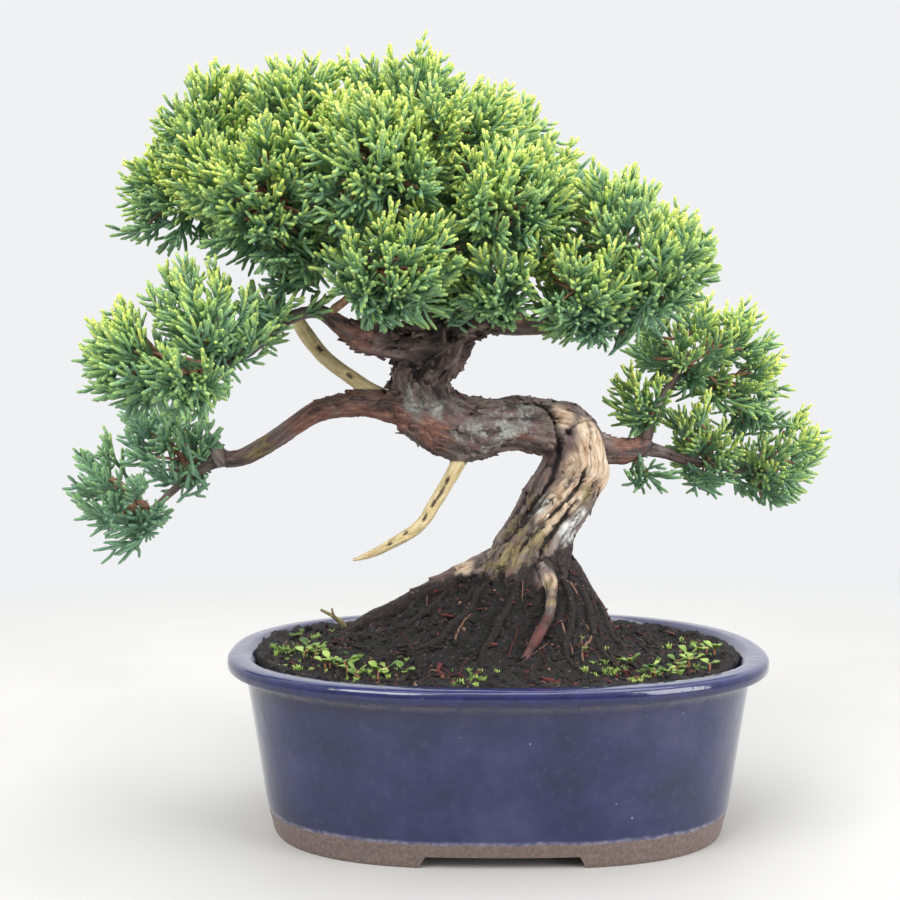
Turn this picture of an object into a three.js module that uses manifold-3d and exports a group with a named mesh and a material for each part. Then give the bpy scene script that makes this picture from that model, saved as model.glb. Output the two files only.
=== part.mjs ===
// Chinese juniper bonsai, 26 cm tall, in an oval glazed pot.
// Millimetres, +Z up. The pot stands on z = 0 and the front is towards -Y.
import * as THREE from 'three';
import { mergeVertices } from 'three/addons/utils/BufferGeometryUtils.js';
import Module from 'manifold-3d';

const wasm = await Module();
wasm.setup();

// Driving dimensions

const HEIGHT = 260; // from the feet to the tip of the leader shoot
const LEADER_TIP = [-27, -8, HEIGHT - 0.2];
const LEADER_LEAD = 4; // how far the leader stands above all other shoots
const GAP = 0.35; // air between two neighbouring pieces
const SOCKET_GAP = 0.45; // between wood and the soil round it
const SOIL_GAP = 0.5; // between the soil and the pot's wall
const SEED = 26;

// The pot's outline is a superellipse with half-lengths a and b. It gets squarer towards the foot.
const POT_SIDES = 36;
const LIP_A = 90.3;
const LIP_B = 70.8;
const LIP_POWER = 2.35;
const FOOT_POWER = 2.7;
const LIP_TOP = 57.2;
const FLOOR = 10;
const FOOT_HEIGHT = 3.8;
const FOOT_GAP_HALF = 26; // half the gap between the two feet, at the ground
const FOOT_GAP_SLOPE = 2.8; // how much narrower the gap is at its top
const RECESS_INSET = 28.5; // from the lip's outline to the hollow under the floor
const RECESS_DRAFT = 1.5;
const DRAIN_RADIUS = 6;
const DRAIN_X = 36;
const MESH_SIZE = 24;
const MESH_THICK = 1;

// Shell stations: inset from the lip's outline, height
const OUTER_PROFILE = [
  [16.1, 0], [13.2, 8], [6.3, 49.5], [5.2, 51.2], [0.6, 52.6],
  [0, 53.6], [0, 56], [1, 57], [3.4, LIP_TOP],
];
const INNER_PROFILE = [
  [21, FLOOR], [17.6, FLOOR + 3], [11.6, 50], [9.8, 54.4],
  [6.8, LIP_TOP - 0.3], [4.6, LIP_TOP + 1],
];

// The soil is level beside the wall and heaped up round the trunk.
const SOIL_LEVEL = 54;
const MOUND_HEIGHT = 29;
const MOUND_X = 17;
const MOUND_LEFT = 55; // reach of the long slope on the left
const MOUND_RIGHT = 22;
const MOUND_DEPTH = 27; // reach of the slopes at the front and back
const SOIL_RINGS = 6;
const SOIL_BUMP = 0.7;

// Limbs: stations of [x, y, z, radius], from the root end to the tip
const TRUNK = [
  [12, 0, 56, 15], [12, 0, 73, 15.2], [14, 0, 85, 14.2], [18, 2, 96, 13], [23, 4, 108, 11.4],
  [27, 5, 119, 11], [24, 4, 129, 10.3], [14, 2, 132, 9.3], [1, 0, 132, 9], [-11, -3, 131, 11],
  [-22, -4, 135, 10.4], [-31, -4, 138, 7.5],
];
const UPPER_TRUNK = [
  [-21, -4, 133, 9.5], [-25, -4, 142, 9.6], [-26, -4, 148, 9.2], [-22, -5, 155, 9.6],
  [-17, -6, 162, 9.4], [-15, -7, 168, 7.6],
];
const LIMBS = {
  west: [
    [-28, -4, 137, 6], [-41, -3, 139, 4.4], [-51, -2, 139, 3.9], [-61, 0, 137, 3.6],
    [-69, 1, 132, 3.2], [-78, 3, 126, 3.2], [-88, 4, 121, 3.1], [-97, 5, 120, 2.7],
    [-105, 5, 115, 1.9], [-113, 6, 108, 1.4], [-120, 7, 102, 1.1],
  ],
  shelf: [
    [-19, -7, 162, 7.3], [-28, -9, 160, 6.4], [-36, -12, 160, 5.7], [-44, -15, 162, 5.4],
    [-50, -18, 164, 3.4], [-58, -23, 169, 2.2], [-68, -28, 166, 2], [-74, -32, 160, 1.8],
    [-79, -36, 155, 1.5], [-88, -41, 150, 1.2],
  ],
  crown: [
    [-17, -6, 166, 7], [-26, -5, 172, 5.6], [-33, -4, 177, 5], [-39, -2, 182, 4.4], [-48, 2, 192, 3.4],
    [-62, 5, 205, 2.4], [-78, 6, 215, 1.8], [-92, 4, 218, 1.3],
  ],
  leader: [
    [-15, -7, 166, 6.6], [-14, -5, 180, 4.8], [-19, -3, 194, 3.8], [-25, -2, 208, 2.8],
    [-28, -4, 220, 2], [-29, -5, 228, 1.4],
  ],
  shoulder: [
    [-14, -8, 168, 5.2], [-3, -12, 167, 4], [9, -18, 165, 2.9], [21, -23, 166, 2.3],
    [33, -27, 170, 1.8], [44, -30, 177, 1.3],
  ],
  back: [
    [-15, -4, 168, 4.6], [-18, 8, 180, 3.4], [-26, 18, 194, 2.6], [-38, 25, 208, 2],
    [-52, 29, 222, 1.4],
  ],
  east: [[31, 8, 125, 6.2], [41, 14, 123, 4.9], [48, 18, 123, 4.3], [54, 22, 125, 3]],
  east_rise: [[52, 21, 124, 2.8], [57, 25, 134, 2.2], [62, 28, 143, 2], [69, 31, 154, 1.5]],
  east_reach: [
    [52, 21, 124, 2.8], [61, 26, 122, 2.3], [70, 30, 119, 2], [81, 34, 117, 1.7],
    [94, 38, 114, 1.2],
  ],
};
const ROOTS = [
  [
    [8, -2, 84, 10], [-3, 1, 82, 6.6], [-18, 4, 76, 4.8], [-32, 6, 69, 4],
    [-45, 7, 63, 3.3], [-56, 7, 56, 2],
  ],
  [[19, 3, 88, 7], [26, 5, 80, 4.4], [33, 6, 71, 3.4], [39, 7, 61, 2.8], [44, 8, 53, 1.8]],
  [[15, -9, 88, 6], [16, -18, 79, 3.4], [15, -25, 71, 2.8], [11, -31, 65, 2.5], [6, -36, 58, 2]],
  [[20, 10, 86, 6.5], [26, 20, 77, 4.2], [30, 30, 66, 3.4], [36, 38, 55, 2.2]],
  [[7, 8, 86, 6.5], [-4, 18, 77, 4.4], [-12, 27, 67, 3.4], [-22, 35, 55, 2.2]],
];
const DEADWOOD = [
  [
    [-32, -4, 139, 3.4], [-41, -3, 143, 2.9], [-50, -1, 149, 2.6], [-58, 1, 155, 2.5],
    [-64, 3, 162, 2.7], [-68, 4, 168, 2.2], [-70, 5, 170, 1.2],
  ],
  [
    [-9, -5, 128, 3.2], [-14, -8, 118, 2.4], [-20, -10, 108, 2.2], [-26, -12, 99, 2],
    [-34, -13, 94, 1.8], [-42, -14, 90, 1.4], [-48, -15, 88, 0.7],
  ],
];
const KNOB = [[-94, 4, 120, 3], [-97, 4, 125, 2.9], [-100, 4, 129, 2]];
const BURL = { at: [-15, -7, 166], size: [11, 9.5, 9] };
const BURL_HOLLOWS = [[-20, -15, 168, 3.4], [-10, -16, 170, 3], [-13, -15, 162, 2.4]];

// Weed seedlings with two round leaves: x, y and turn in radians
const SEEDLINGS = [
  [-63, -14, 0.4], [-54, -30, 1.9], [-38, -43, 2.9], [47, -38, 0.9], [61, -26, 2.4], [68, -8, 1.2],
];
const LEAF_LENGTH = 4.6;
const LEAF_WIDTH = 3.8;
const LEAF_THICK = 0.7;
const LEAF_TILT = 0.35;
const LEAF_POINTS = 6;
const STEM_RADIUS = 0.6;
const STEM_TALL = 3;
const STEM_DEEP = 3.5; // how far the stem stands in the soil

// A dead twig that sticks out of the soil on the left
const DEAD_TWIG = [[-53, 22, 52, 1], [-54, 22, 60, 0.9], [-57, 21, 63, 0.7], [-62, 20, 66, 0.5]];

// Pads of foliage: name, limb that carries it, middle [x, y, z], reach and growth
const PADS = [
  ['crown_apex', 'leader', [-32, -7, 242], 18, 'dense'],
  ['crown_north', 'crown', [-62, -12, 234], 19, 'dense'],
  ['crown_north_west', 'crown', [-90, -8, 229], 20, 'dense'],
  ['crown_west', 'crown', [-108, -4, 208], 18, 'dense'],
  ['crown_north_east', 'leader', [-11, -16, 224], 20, 'dense'],
  ['crown_east', 'leader', [5, 13, 231], 17, 'dense'],
  ['crown_front', 'leader', [-40, -40, 212], 22, 'dense'],
  ['crown_front_left', 'crown', [-72, -34, 203], 23, 'dense'],
  ['crown_front_right', 'leader', [2, -36, 203], 20, 'dense'],
  ['crown_low_front', 'shelf', [-32, -45, 185], 20, 'dense'],
  ['crown_low_right', 'shoulder', [-2, -40, 181], 15, 'dense'],
  ['back_north_west', 'back', [-84, 26, 228], 20, 'dense'],
  ['back_north', 'back', [-52, 30, 238], 20, 'dense'],
  ['back_north_east', 'leader', [-18, 30, 229], 20, 'dense'],
  ['back_middle', 'back', [-66, 33, 207], 22, 'dense'],
  ['back_east', 'back', [-6, 32, 206], 20, 'dense'],
  ['back_low', 'back', [-33, 34, 193], 17, 'dense'],
  ['shoulder_tip', 'shoulder', [50, -33, 185], 17, 'dense'],
  ['shoulder_top', 'shoulder', [34, -27, 198], 17, 'dense'],
  ['shoulder_front', 'shoulder', [22, -38, 178], 17, 'dense'],
  ['shoulder_back', 'shoulder', [30, -4, 188], 15, 'dense'],
  ['shelf_top', 'shelf', [-91, -41, 167], 17, 'dense'],
  ['shelf_tip', 'shelf', [-112, -42, 155], 16, 'dense'],
  ['shelf_inner', 'shelf', [-74, -32, 174], 10, 'open'],
  ['shelf_low', 'shelf', [-95, -52, 149], 13, 'open'],
  ['west_top', 'west', [-113, 6, 127], 17, 'open'],
  ['west_low', 'west', [-130, 9, 103], 14, 'open'],
  ['west_tip', 'west', [-130, 4, 114], 16, 'open'],
  ['east_top', 'east_rise', [66, 29, 163], 17, 'open'],
  ['east_crest', 'east_rise', [86, 35, 164], 15, 'open'],
  ['east_side', 'east_rise', [91, 38, 146], 17, 'open'],
  ['east_tip', 'east_reach', [106, 40, 122], 17, 'open'],
  ['east_low', 'east_reach', [80, 33, 127], 15, 'open'],
  ['east_inner', 'east_rise', [51, 20, 142], 12, 'open'],
  ['east_tuft', 'east', [54, 13, 115], 9, 'open'],
];

// Foliage: a spray is a slim three-sided spindle whose sides are drawn out into blunt fingers,
// the scale-leaved shoots. Each length of the spindle ends at a share of the whole, and bears
// side shoots of the given lengths.
const SPINDLE = [
  { share: 0.3, radius: 1.6, shoots: [] },
  { share: 0.64, radius: 1.4, shoots: [10, 9.5, 9] },
  { share: 1, radius: 0.75, shoots: [8, 7.5, 7] },
];
const SHOOT_RADIUS = 1;
const SHOOT_TIP = 0.75;
const SHOOT_CLEAR = 2; // between the middles of two shoots
const SHORTEST_SHOOT = 4.5;
const SHOOT_SPREAD = 0.8; // radians between a side shoot and its spray
const SPRAY_SPACING = 16; // least distance between the tips of two sprays
const OUTER_SHARE = 0.8; // share of a pad's reach that a spray has to get to
const DENSE_HUB = 0.32; // size of a dense pad's hub beside its reach
const OPEN_HUB = 0.16;
const FACE_STEP = 7; // a hub's faces are tried in steps, so that the sprays spread

const TWIG_RADIUS = 0.7; // of the twig that carries a pad, before its share of the reach
const TWIG_GROWTH = 0.05; // what each millimetre of reach adds to that
const TWIG_SHARE = 0.8; // the most of its limb's radius that a twig may have
const TWIG_TAPER = 0.75;
const TWIG_SPACING = 4.5; // between the feet of two twigs
const TWIG_STEPS = 8;

const LIMB_SIDES = 7;
const BARK_SWELL = 1.12; // the most that the bark's ridges stand out, beside the radius

const Z_AXIS = new THREE.Vector3(0, 0, 1);

function seededRandom(seed) {
  let state = seed >>> 0;
  return () => {
    state = (state + 0x6d2b79f5) >>> 0;
    let t = state;
    t = Math.imul(t ^ (t >>> 15), t | 1);
    t ^= t + Math.imul(t ^ (t >>> 7), t | 61);
    return ((t ^ (t >>> 14)) >>> 0) / 4294967296;
  };
}

const random = seededRandom(SEED);
const between = (low, high) => low + (high - low) * random();
const vector = (p) => new THREE.Vector3(p[0], p[1], p[2]);

// Solids

function solidOf(geometry) {
  const bare = geometry.clone();
  bare.deleteAttribute('normal');
  bare.deleteAttribute('uv');
  const merged = mergeVertices(bare, 1e-4);
  const vertProperties = new Float32Array(merged.attributes.position.array);
  const triVerts = new Uint32Array(merged.index.array);
  return new wasm.Manifold(new wasm.Mesh({ numProp: 3, vertProperties, triVerts }));
}

function geometryOf(solid) {
  const mesh = solid.getMesh();
  const geometry = new THREE.BufferGeometry();
  geometry.setAttribute('position', new THREE.BufferAttribute(new Float32Array(mesh.vertProperties), 3));
  geometry.setIndex(new THREE.BufferAttribute(new Uint32Array(mesh.triVerts), 1));
  geometry.computeVertexNormals();
  return geometry;
}

// The skin through a stack of rings, each a list of Vector3 that runs anticlockwise as seen
// against the direction of the stack. The faces of one ring's side come two by two.
function stack(rings) {
  const count = rings[0].length;
  const faces = [];
  for (let level = 0; level + 1 < rings.length; level += 1) {
    for (let i = 0; i < count; i += 1) {
      const a = level * count + i;
      const b = level * count + (i + 1) % count;
      faces.push([a, b, b + count], [a, b + count, a + count]);
    }
  }
  const last = (rings.length - 1) * count;
  for (let i = 1; i + 1 < count; i += 1) {
    faces.push([0, i + 1, i], [last, last + i, last + i + 1]);
  }
  return { points: rings.flat(), faces };
}

function shellSolid({ points, faces }) {
  const numbers = points.flatMap((p) => [p.x, p.y, p.z]);
  const geometry = new THREE.BufferGeometry();
  geometry.setAttribute('position', new THREE.Float32BufferAttribute(numbers, 3));
  geometry.setIndex(faces.flat());
  return solidOf(geometry);
}

const loft = (rings) => shellSolid(stack(rings));

// Pieces fused to one body. A hollow that fusing seals is filled, and a loose scrap is dropped.
function joined(solids) {
  const whole = solids.reduce((body, piece) => body.add(piece));
  const bodies = whole.decompose();
  return bodies.reduce((largest, body) => (body.volume() > largest.volume() ? body : largest));
}

function circleRing(centre, normal, binormal, radius, sides, section = () => 1) {
  return Array.from({ length: sides }, (_, i) => {
    const angle = (2 * Math.PI * i) / sides;
    const reach = radius * section(angle);
    return centre.clone()
      .addScaledVector(normal, reach * Math.cos(angle))
      .addScaledVector(binormal, reach * Math.sin(angle));
  });
}

// A limb is swept along a smooth curve through its stations. It is joined from short lengths,
// so that a tight bend folds into a crease as bark does. grow makes it larger all round.
function limb(stations, sides, steps, { section = () => 1, grow = 0 } = {}) {
  const curve = new THREE.CatmullRomCurve3(stations.map(vector), false, 'centripetal');
  const frames = curve.computeFrenetFrames(steps, false);
  const rings = [];
  for (let i = 0; i <= steps; i += 1) {
    const share = i / steps;
    const along = curve.getUtoTmapping(share) * (stations.length - 1);
    const index = Math.min(Math.floor(along), stations.length - 2);
    const radius = THREE.MathUtils.lerp(stations[index][3], stations[index + 1][3], along - index) + grow;
    const centre = curve.getPointAt(share);
    if (i === 0) centre.addScaledVector(frames.tangents[0], -grow);
    if (i === steps) centre.addScaledVector(frames.tangents[steps], grow);
    const swell = (angle) => section(angle, share);
    rings.push(circleRing(centre, frames.normals[i], frames.binormals[i], radius, sides, swell));
  }
  return joined(rings.slice(1).map((ring, i) => loft([rings[i], ring])));
}

// A straight bar with a square section
function bar(from, to, startRadius, endRadius) {
  const axis = to.clone().sub(from).normalize();
  const turn = new THREE.Quaternion().setFromUnitVectors(Z_AXIS, axis);
  const normal = new THREE.Vector3(1, 0, 0).applyQuaternion(turn);
  const binormal = new THREE.Vector3(0, 1, 0).applyQuaternion(turn);
  return loft([
    circleRing(from, normal, binormal, startRadius, 4),
    circleRing(to, normal, binormal, endRadius, 4),
  ]);
}

// Pot

function potRing(inset, z) {
  const power = THREE.MathUtils.lerp(FOOT_POWER, LIP_POWER, Math.min(z / LIP_TOP, 1));
  return Array.from({ length: POT_SIDES }, (_, i) => {
    const angle = (2 * Math.PI * i) / POT_SIDES;
    const c = Math.cos(angle);
    const s = Math.sin(angle);
    const x = (LIP_A - inset) * Math.sign(c) * Math.abs(c) ** (2 / power);
    const y = (LIP_B - inset) * Math.sign(s) * Math.abs(s) ** (2 / power);
    return new THREE.Vector3(x, y, z);
  });
}

function insetAt(profile, z) {
  const upper = profile.findIndex(([, height]) => height >= z);
  const [insetA, zA] = profile[upper - 1];
  const [insetB, zB] = profile[upper];
  return THREE.MathUtils.mapLinear(z, zA, zB, insetA, insetB);
}

function prismAlongY(outline, depth) {
  const shape = new THREE.Shape(outline.map(([x, z]) => new THREE.Vector2(x, z)));
  const geometry = new THREE.ExtrudeGeometry(shape, { depth, bevelEnabled: false });
  return solidOf(geometry.rotateX(Math.PI / 2).translate(0, depth / 2, 0));
}

function drainHole(x) {
  const geometry = new THREE.CylinderGeometry(DRAIN_RADIUS, DRAIN_RADIUS, 2 * FLOOR, 16);
  return solidOf(geometry.rotateX(Math.PI / 2).translate(x, 0, FLOOR));
}

// The gap between the two feet, cut from below the ground up to the feet's height
function footGap() {
  const half = (z) => FOOT_GAP_HALF - (FOOT_GAP_SLOPE * z) / FOOT_HEIGHT;
  const low = -1;
  const outline = [[-half(low), low], [half(low), low], [half(FOOT_HEIGHT), FOOT_HEIGHT]];
  outline.push([-half(FOOT_HEIGHT), FOOT_HEIGHT]);
  return prismAlongY(outline, 2 * LIP_B);
}

function pot() {
  const shell = loft(OUTER_PROFILE.map(([inset, z]) => potRing(inset, z)));
  const cavity = loft(INNER_PROFILE.map(([inset, z]) => potRing(inset, z)));
  const recess = loft([potRing(RECESS_INSET + RECESS_DRAFT, -1), potRing(RECESS_INSET, FOOT_HEIGHT)]);
  return shell.subtract(cavity).subtract(recess).subtract(footGap())
    .subtract(drainHole(-DRAIN_X)).subtract(drainHole(DRAIN_X));
}

// A square of netting over a drain hole. grow makes it larger at the sides and the top.
function drainMesh(x, grow = 0) {
  const size = MESH_SIZE + 2 * grow;
  const thick = MESH_THICK + grow;
  return solidOf(new THREE.BoxGeometry(size, size, thick).translate(x, 0, FLOOR + GAP + thick / 2));
}

// Tree

const bark = (angle, along) => 1
  + 0.07 * Math.sin(3 * angle + 7 * along)
  + 0.05 * Math.sin(5 * angle - 11 * along + 1)
  + 0.04 * Math.sin(7 * angle + 23 * along + 2);

const limbBark = (angle, along) => 1 + 0.08 * Math.sin(3 * angle + 9 * along);

function rootwork(grow) {
  const trunk = limb(TRUNK, 13, 20, { section: bark, grow });
  const roots = ROOTS.map((stations) => limb(stations, LIMB_SIDES, 5, { section: limbBark, grow }));
  return joined([trunk, ...roots]);
}

const branch = (name, grow = 0) => (
  limb(LIMBS[name], LIMB_SIDES, LIMBS[name].length, { section: limbBark, grow })
);

function burl() {
  const ball = new THREE.IcosahedronGeometry(1, 1);
  ball.scale(...BURL.size).translate(...BURL.at);
  return BURL_HOLLOWS.reduce((body, [x, y, z, radius]) => (
    body.subtract(solidOf(new THREE.IcosahedronGeometry(radius, 0).translate(x, y, z)))
  ), solidOf(ball));
}

// Each pad keeps to its own side of the plane between it and every other pad, and below the
// leader's tip. The result is the distance from the point to the nearest bound, negative outside.
function roomInPad(pad, point) {
  let room = HEIGHT - LEADER_LEAD / 2 - point.z;
  for (const other of pads) {
    if (other !== pad) {
      const own = point.distanceToSquared(pad.middle) - pad.reach ** 2;
      const theirs = point.distanceToSquared(other.middle) - other.reach ** 2;
      room = Math.min(room, (theirs - own) / (2 * other.middle.distanceTo(pad.middle)));
    }
  }
  return room;
}

// Places along a limb with its radius there, TWIG_STEPS to each length between two stations
function placesOn(stations) {
  return stations.slice(1).flatMap((station, i) => (
    Array.from({ length: TWIG_STEPS }, (_, step) => {
      const share = (step + 1) / TWIG_STEPS;
      return {
        at: vector(stations[i]).lerp(vector(station), share),
        radius: THREE.MathUtils.lerp(stations[i][3], station[3], share),
      };
    })
  ));
}

// A pad hangs on a twig that leaves its limb at the place nearest to the pad's middle where no
// other twig leaves it
function padFrom([name, limbName, middle, reach, growth]) {
  const centre = vector(middle);
  const free = placesOn(LIMBS[limbName]).filter(({ at }) => (
    twigFeet.every((foot) => foot.distanceTo(at) > TWIG_SPACING)
  ));
  const { at, radius } = free.reduce((best, place) => (
    place.at.distanceTo(centre) < best.at.distanceTo(centre) ? place : best
  ));
  twigFeet.push(at);
  return {
    name,
    middle: centre,
    reach,
    hubRadius: reach * (growth === 'dense' ? DENSE_HUB : OPEN_HUB),
    direction: centre.clone().sub(at).normalize(),
    limbName,
    foot: at,
    twigRadius: Math.min(radius * TWIG_SHARE, TWIG_RADIUS + TWIG_GROWTH * reach),
    leader: name === 'crown_apex' ? vector(LEADER_TIP) : null,
  };
}

const twigFeet = [];
const pads = PADS.map(padFrom);

const wood = [TRUNK, UPPER_TRUNK, KNOB, ...Object.values(LIMBS), ...DEADWOOD];
const woodSegments = wood.flatMap((stations) => (
  stations.slice(1).map((station, i) => ({
    line: new THREE.Line3(vector(stations[i]), vector(station)),
    radius: Math.max(stations[i][3], station[3]) * BARK_SWELL,
  }))
));
for (const pad of pads) {
  woodSegments.push({ line: new THREE.Line3(pad.foot, pad.middle), radius: pad.twigRadius, pad });
}

function tree() {
  const branches = Object.keys(LIMBS).map((name) => branch(name));
  const upper = limb(UPPER_TRUNK, 12, 7, { section: bark });
  const dead = DEADWOOD.map((stations) => limb(stations, 6, 6));
  return joined([rootwork(0), upper, burl(), limb(KNOB, LIMB_SIDES, 3), ...branches, ...dead]);
}

// Foliage

const sprayTips = [];

// The least distance between the straight lengths a-b and c-d
function segmentDistance(a, b, c, d) {
  const u = b.clone().sub(a);
  const v = d.clone().sub(c);
  const w = a.clone().sub(c);
  const uu = u.dot(u);
  const uv = u.dot(v);
  const vv = v.dot(v);
  const uw = u.dot(w);
  const vw = v.dot(w);
  const cross = uu * vv - uv * uv;
  let s = cross > 1e-9 ? THREE.MathUtils.clamp((uv * vw - vv * uw) / cross, 0, 1) : 0;
  const t = THREE.MathUtils.clamp((uv * s + vw) / vv, 0, 1);
  s = THREE.MathUtils.clamp((uv * t - uw) / uu, 0, 1);
  return w.addScaledVector(u, s).addScaledVector(v, -t).length();
}

const clearOfWood = (pad, from, to) => woodSegments.every(({ line, radius, pad: owner }) => (
  owner === pad || segmentDistance(from, to, line.start, line.end) > radius + SHOOT_RADIUS + GAP
));

// The longest part of a straight length that stays in the pad's own room and clear of the wood
function fitted(pad, from, to, shortest) {
  for (let share = 1; share > 0.3; share -= 0.1) {
    const end = from.clone().lerp(to, share);
    if (end.distanceTo(from) < shortest) return null;
    if (roomInPad(pad, end) > SHOOT_RADIUS + GAP / 2 && clearOfWood(pad, from, end)) return end;
  }
  return null;
}

const keepsOff = (taken, from, to) => taken.every(([a, b]) => segmentDistance(from, to, a, b) > SHOOT_CLEAR);

function faceCentre(shell, face) {
  const [a, b, c] = shell.faces[face].map((i) => shell.points[i]);
  return new THREE.Triangle(a, b, c).getMidpoint(new THREE.Vector3());
}

function faceNormal(shell, face) {
  const [a, b, c] = shell.faces[face].map((i) => shell.points[i]);
  return new THREE.Triangle(a, b, c).getNormal(new THREE.Vector3());
}

// Draws a triangular face of a shell out to a new triangle of the given radius round a place.
// Returns the first face of each of the three new sides.
function drawOut(shell, face, place, radius) {
  const [a, b, c] = shell.faces[face];
  const centre = faceCentre(shell, face);
  const axis = place.clone().sub(centre).normalize();
  const [p, q, r] = [0, 1, 2].map((i) => shell.points.length + i);
  for (const corner of [a, b, c]) {
    const across = shell.points[corner].clone().sub(centre).projectOnPlane(axis);
    shell.points.push(across.setLength(radius).add(place));
  }
  shell.faces[face] = [p, q, r];
  const first = shell.faces.length;
  shell.faces.push([a, b, q], [a, q, p], [b, c, r], [b, r, q], [c, a, p], [c, p, r]);
  return [first, first + 2, first + 4];
}

// Where a side shoot from the given face would lie, or null where it has no room
function shootLine(pad, shell, face, length, forward, taken) {
  const base = faceCentre(shell, face);
  const out = faceNormal(shell, face).projectOnPlane(forward).normalize();
  const spread = SHOOT_SPREAD * between(0.85, 1.15);
  const direction = forward.clone().multiplyScalar(Math.cos(spread)).addScaledVector(out, Math.sin(spread));
  const wanted = base.clone().addScaledVector(direction, length * between(0.9, 1.1));
  const tip = fitted(pad, base, wanted, SHORTEST_SHOOT);
  return tip && keepsOff(taken, base.clone().lerp(tip, 0.3), tip) ? [base, tip] : null;
}

// A spray grows out of one face of its pad's hub: a slim spindle with side shoots round it
function growSpray(pad, shell, face, tip, taken) {
  const from = faceCentre(shell, face);
  const forward = tip.clone().sub(from).normalize();
  const buds = SPINDLE.flatMap(({ share, radius, shoots }) => {
    const sides = drawOut(shell, face, from.clone().lerp(tip, share), radius);
    return shoots.map((length, i) => ({ face: sides[i], length }));
  });
  for (const bud of buds) {
    const line = shootLine(pad, shell, bud.face, bud.length, forward, taken);
    if (line) {
      drawOut(shell, bud.face, line[1], SHOOT_TIP);
      taken.push(line);
    }
  }
  taken.push([from.clone().lerp(tip, 0.2), tip]);
  sprayTips.push(tip);
}

// The hub is a small rough ball at the end of the pad's twig
function hub(pad) {
  const ball = new THREE.IcosahedronGeometry(pad.hubRadius, 0);
  ball.deleteAttribute('normal');
  ball.deleteAttribute('uv');
  const { attributes: { position }, index } = mergeVertices(ball, 1e-4);
  const points = Array.from({ length: position.count }, (_, i) => (
    new THREE.Vector3().fromBufferAttribute(position, i).multiplyScalar(between(0.85, 1.15)).add(pad.middle)
  ));
  const faces = Array.from({ length: index.count / 3 }, (_, i) => [0, 1, 2].map((k) => index.getX(3 * i + k)));
  return { points, faces };
}

// Sprays grow wherever their tips get to the pad's outside and keep their distance from all
// other tips. The leader, the topmost shoot of the plant, comes first. The foot of the
// pad's twig is saddled over its limb.
function foliage(pad) {
  const shell = hub(pad);
  const twigEnd = pad.middle.clone().addScaledVector(pad.direction, -pad.hubRadius);
  const taken = [[pad.foot, twigEnd]];
  const outward = shell.faces.map((_, face) => faceCentre(shell, face).sub(pad.middle).normalize());
  let faces = outward.map((_, i) => (i * FACE_STEP) % outward.length);
  if (pad.leader) {
    const upward = pad.leader.clone().sub(pad.middle).normalize();
    const top = faces.reduce((best, face) => (
      outward[face].dot(upward) > outward[best].dot(upward) ? face : best
    ));
    growSpray(pad, shell, top, pad.leader, taken);
    faces = faces.filter((face) => face !== top);
  }
  for (const face of faces) {
    const from = faceCentre(shell, face);
    const wanted = pad.middle.clone().addScaledVector(outward[face], pad.reach * between(0.94, 1.06));
    const tip = fitted(pad, from, wanted, OUTER_SHARE * pad.reach - pad.hubRadius);
    const spaced = tip && sprayTips.every((other) => other.distanceTo(tip) > SPRAY_SPACING);
    if (spaced && keepsOff(taken, from.clone().lerp(tip, 0.2), tip)) growSpray(pad, shell, face, tip, taken);
  }
  const twig = bar(pad.foot, pad.middle, pad.twigRadius, pad.twigRadius * TWIG_TAPER);
  return joined([shellSolid(shell), twig.subtract(branch(pad.limbName, GAP))]);
}

// Small things in the soil

function leaf(turn, place) {
  const outline = Array.from({ length: LEAF_POINTS }, (_, i) => {
    const angle = (2 * Math.PI * i) / LEAF_POINTS;
    return new THREE.Vector2(0.5 * LEAF_LENGTH * (1 + Math.cos(angle)), 0.5 * LEAF_WIDTH * Math.sin(angle));
  });
  const shape = new THREE.Shape(outline);
  const blade = new THREE.ExtrudeGeometry(shape, { depth: LEAF_THICK, bevelEnabled: false });
  return solidOf(blade.rotateY(-LEAF_TILT).rotateZ(turn).translate(place.x, place.y, place.z));
}

function seedling([x, y, turn]) {
  const ground = moundHeight(x, y);
  const foot = new THREE.Vector3(x, y, ground - STEM_DEEP);
  const fork = new THREE.Vector3(x, y, ground + STEM_TALL);
  const top = fork.clone().setZ(fork.z + LEAF_THICK);
  const stem = bar(foot, top, STEM_RADIUS, STEM_RADIUS);
  return joined([stem, leaf(turn, fork), leaf(turn + Math.PI, fork)]);
}

function stemHole([x, y]) {
  const deep = STEM_DEEP + GAP;
  const tall = deep + STEM_TALL;
  const hole = new THREE.CylinderGeometry(STEM_RADIUS + GAP, STEM_RADIUS + GAP, tall, 6);
  return solidOf(hole.rotateX(Math.PI / 2).translate(x, y, moundHeight(x, y) - deep + tall / 2));
}

const deadTwig = (grow = 0) => limb(DEAD_TWIG, 5, 4, { grow });

// Soil

function moundHeight(x, y) {
  const dx = x - MOUND_X;
  const side = dx < 0 ? Math.abs(dx / MOUND_LEFT) ** 2 : Math.abs(dx / MOUND_RIGHT) ** 3;
  const depth = Math.abs(y / MOUND_DEPTH) ** 2.5;
  const bump = Math.sin(0.31 * x + 1.7 * Math.sin(0.23 * y));
  const cross = Math.sin(0.37 * y + 0.9 * Math.sin(0.19 * x));
  return SOIL_LEVEL + MOUND_HEIGHT * Math.exp(-side - depth) + SOIL_BUMP * bump * cross;
}

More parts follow.
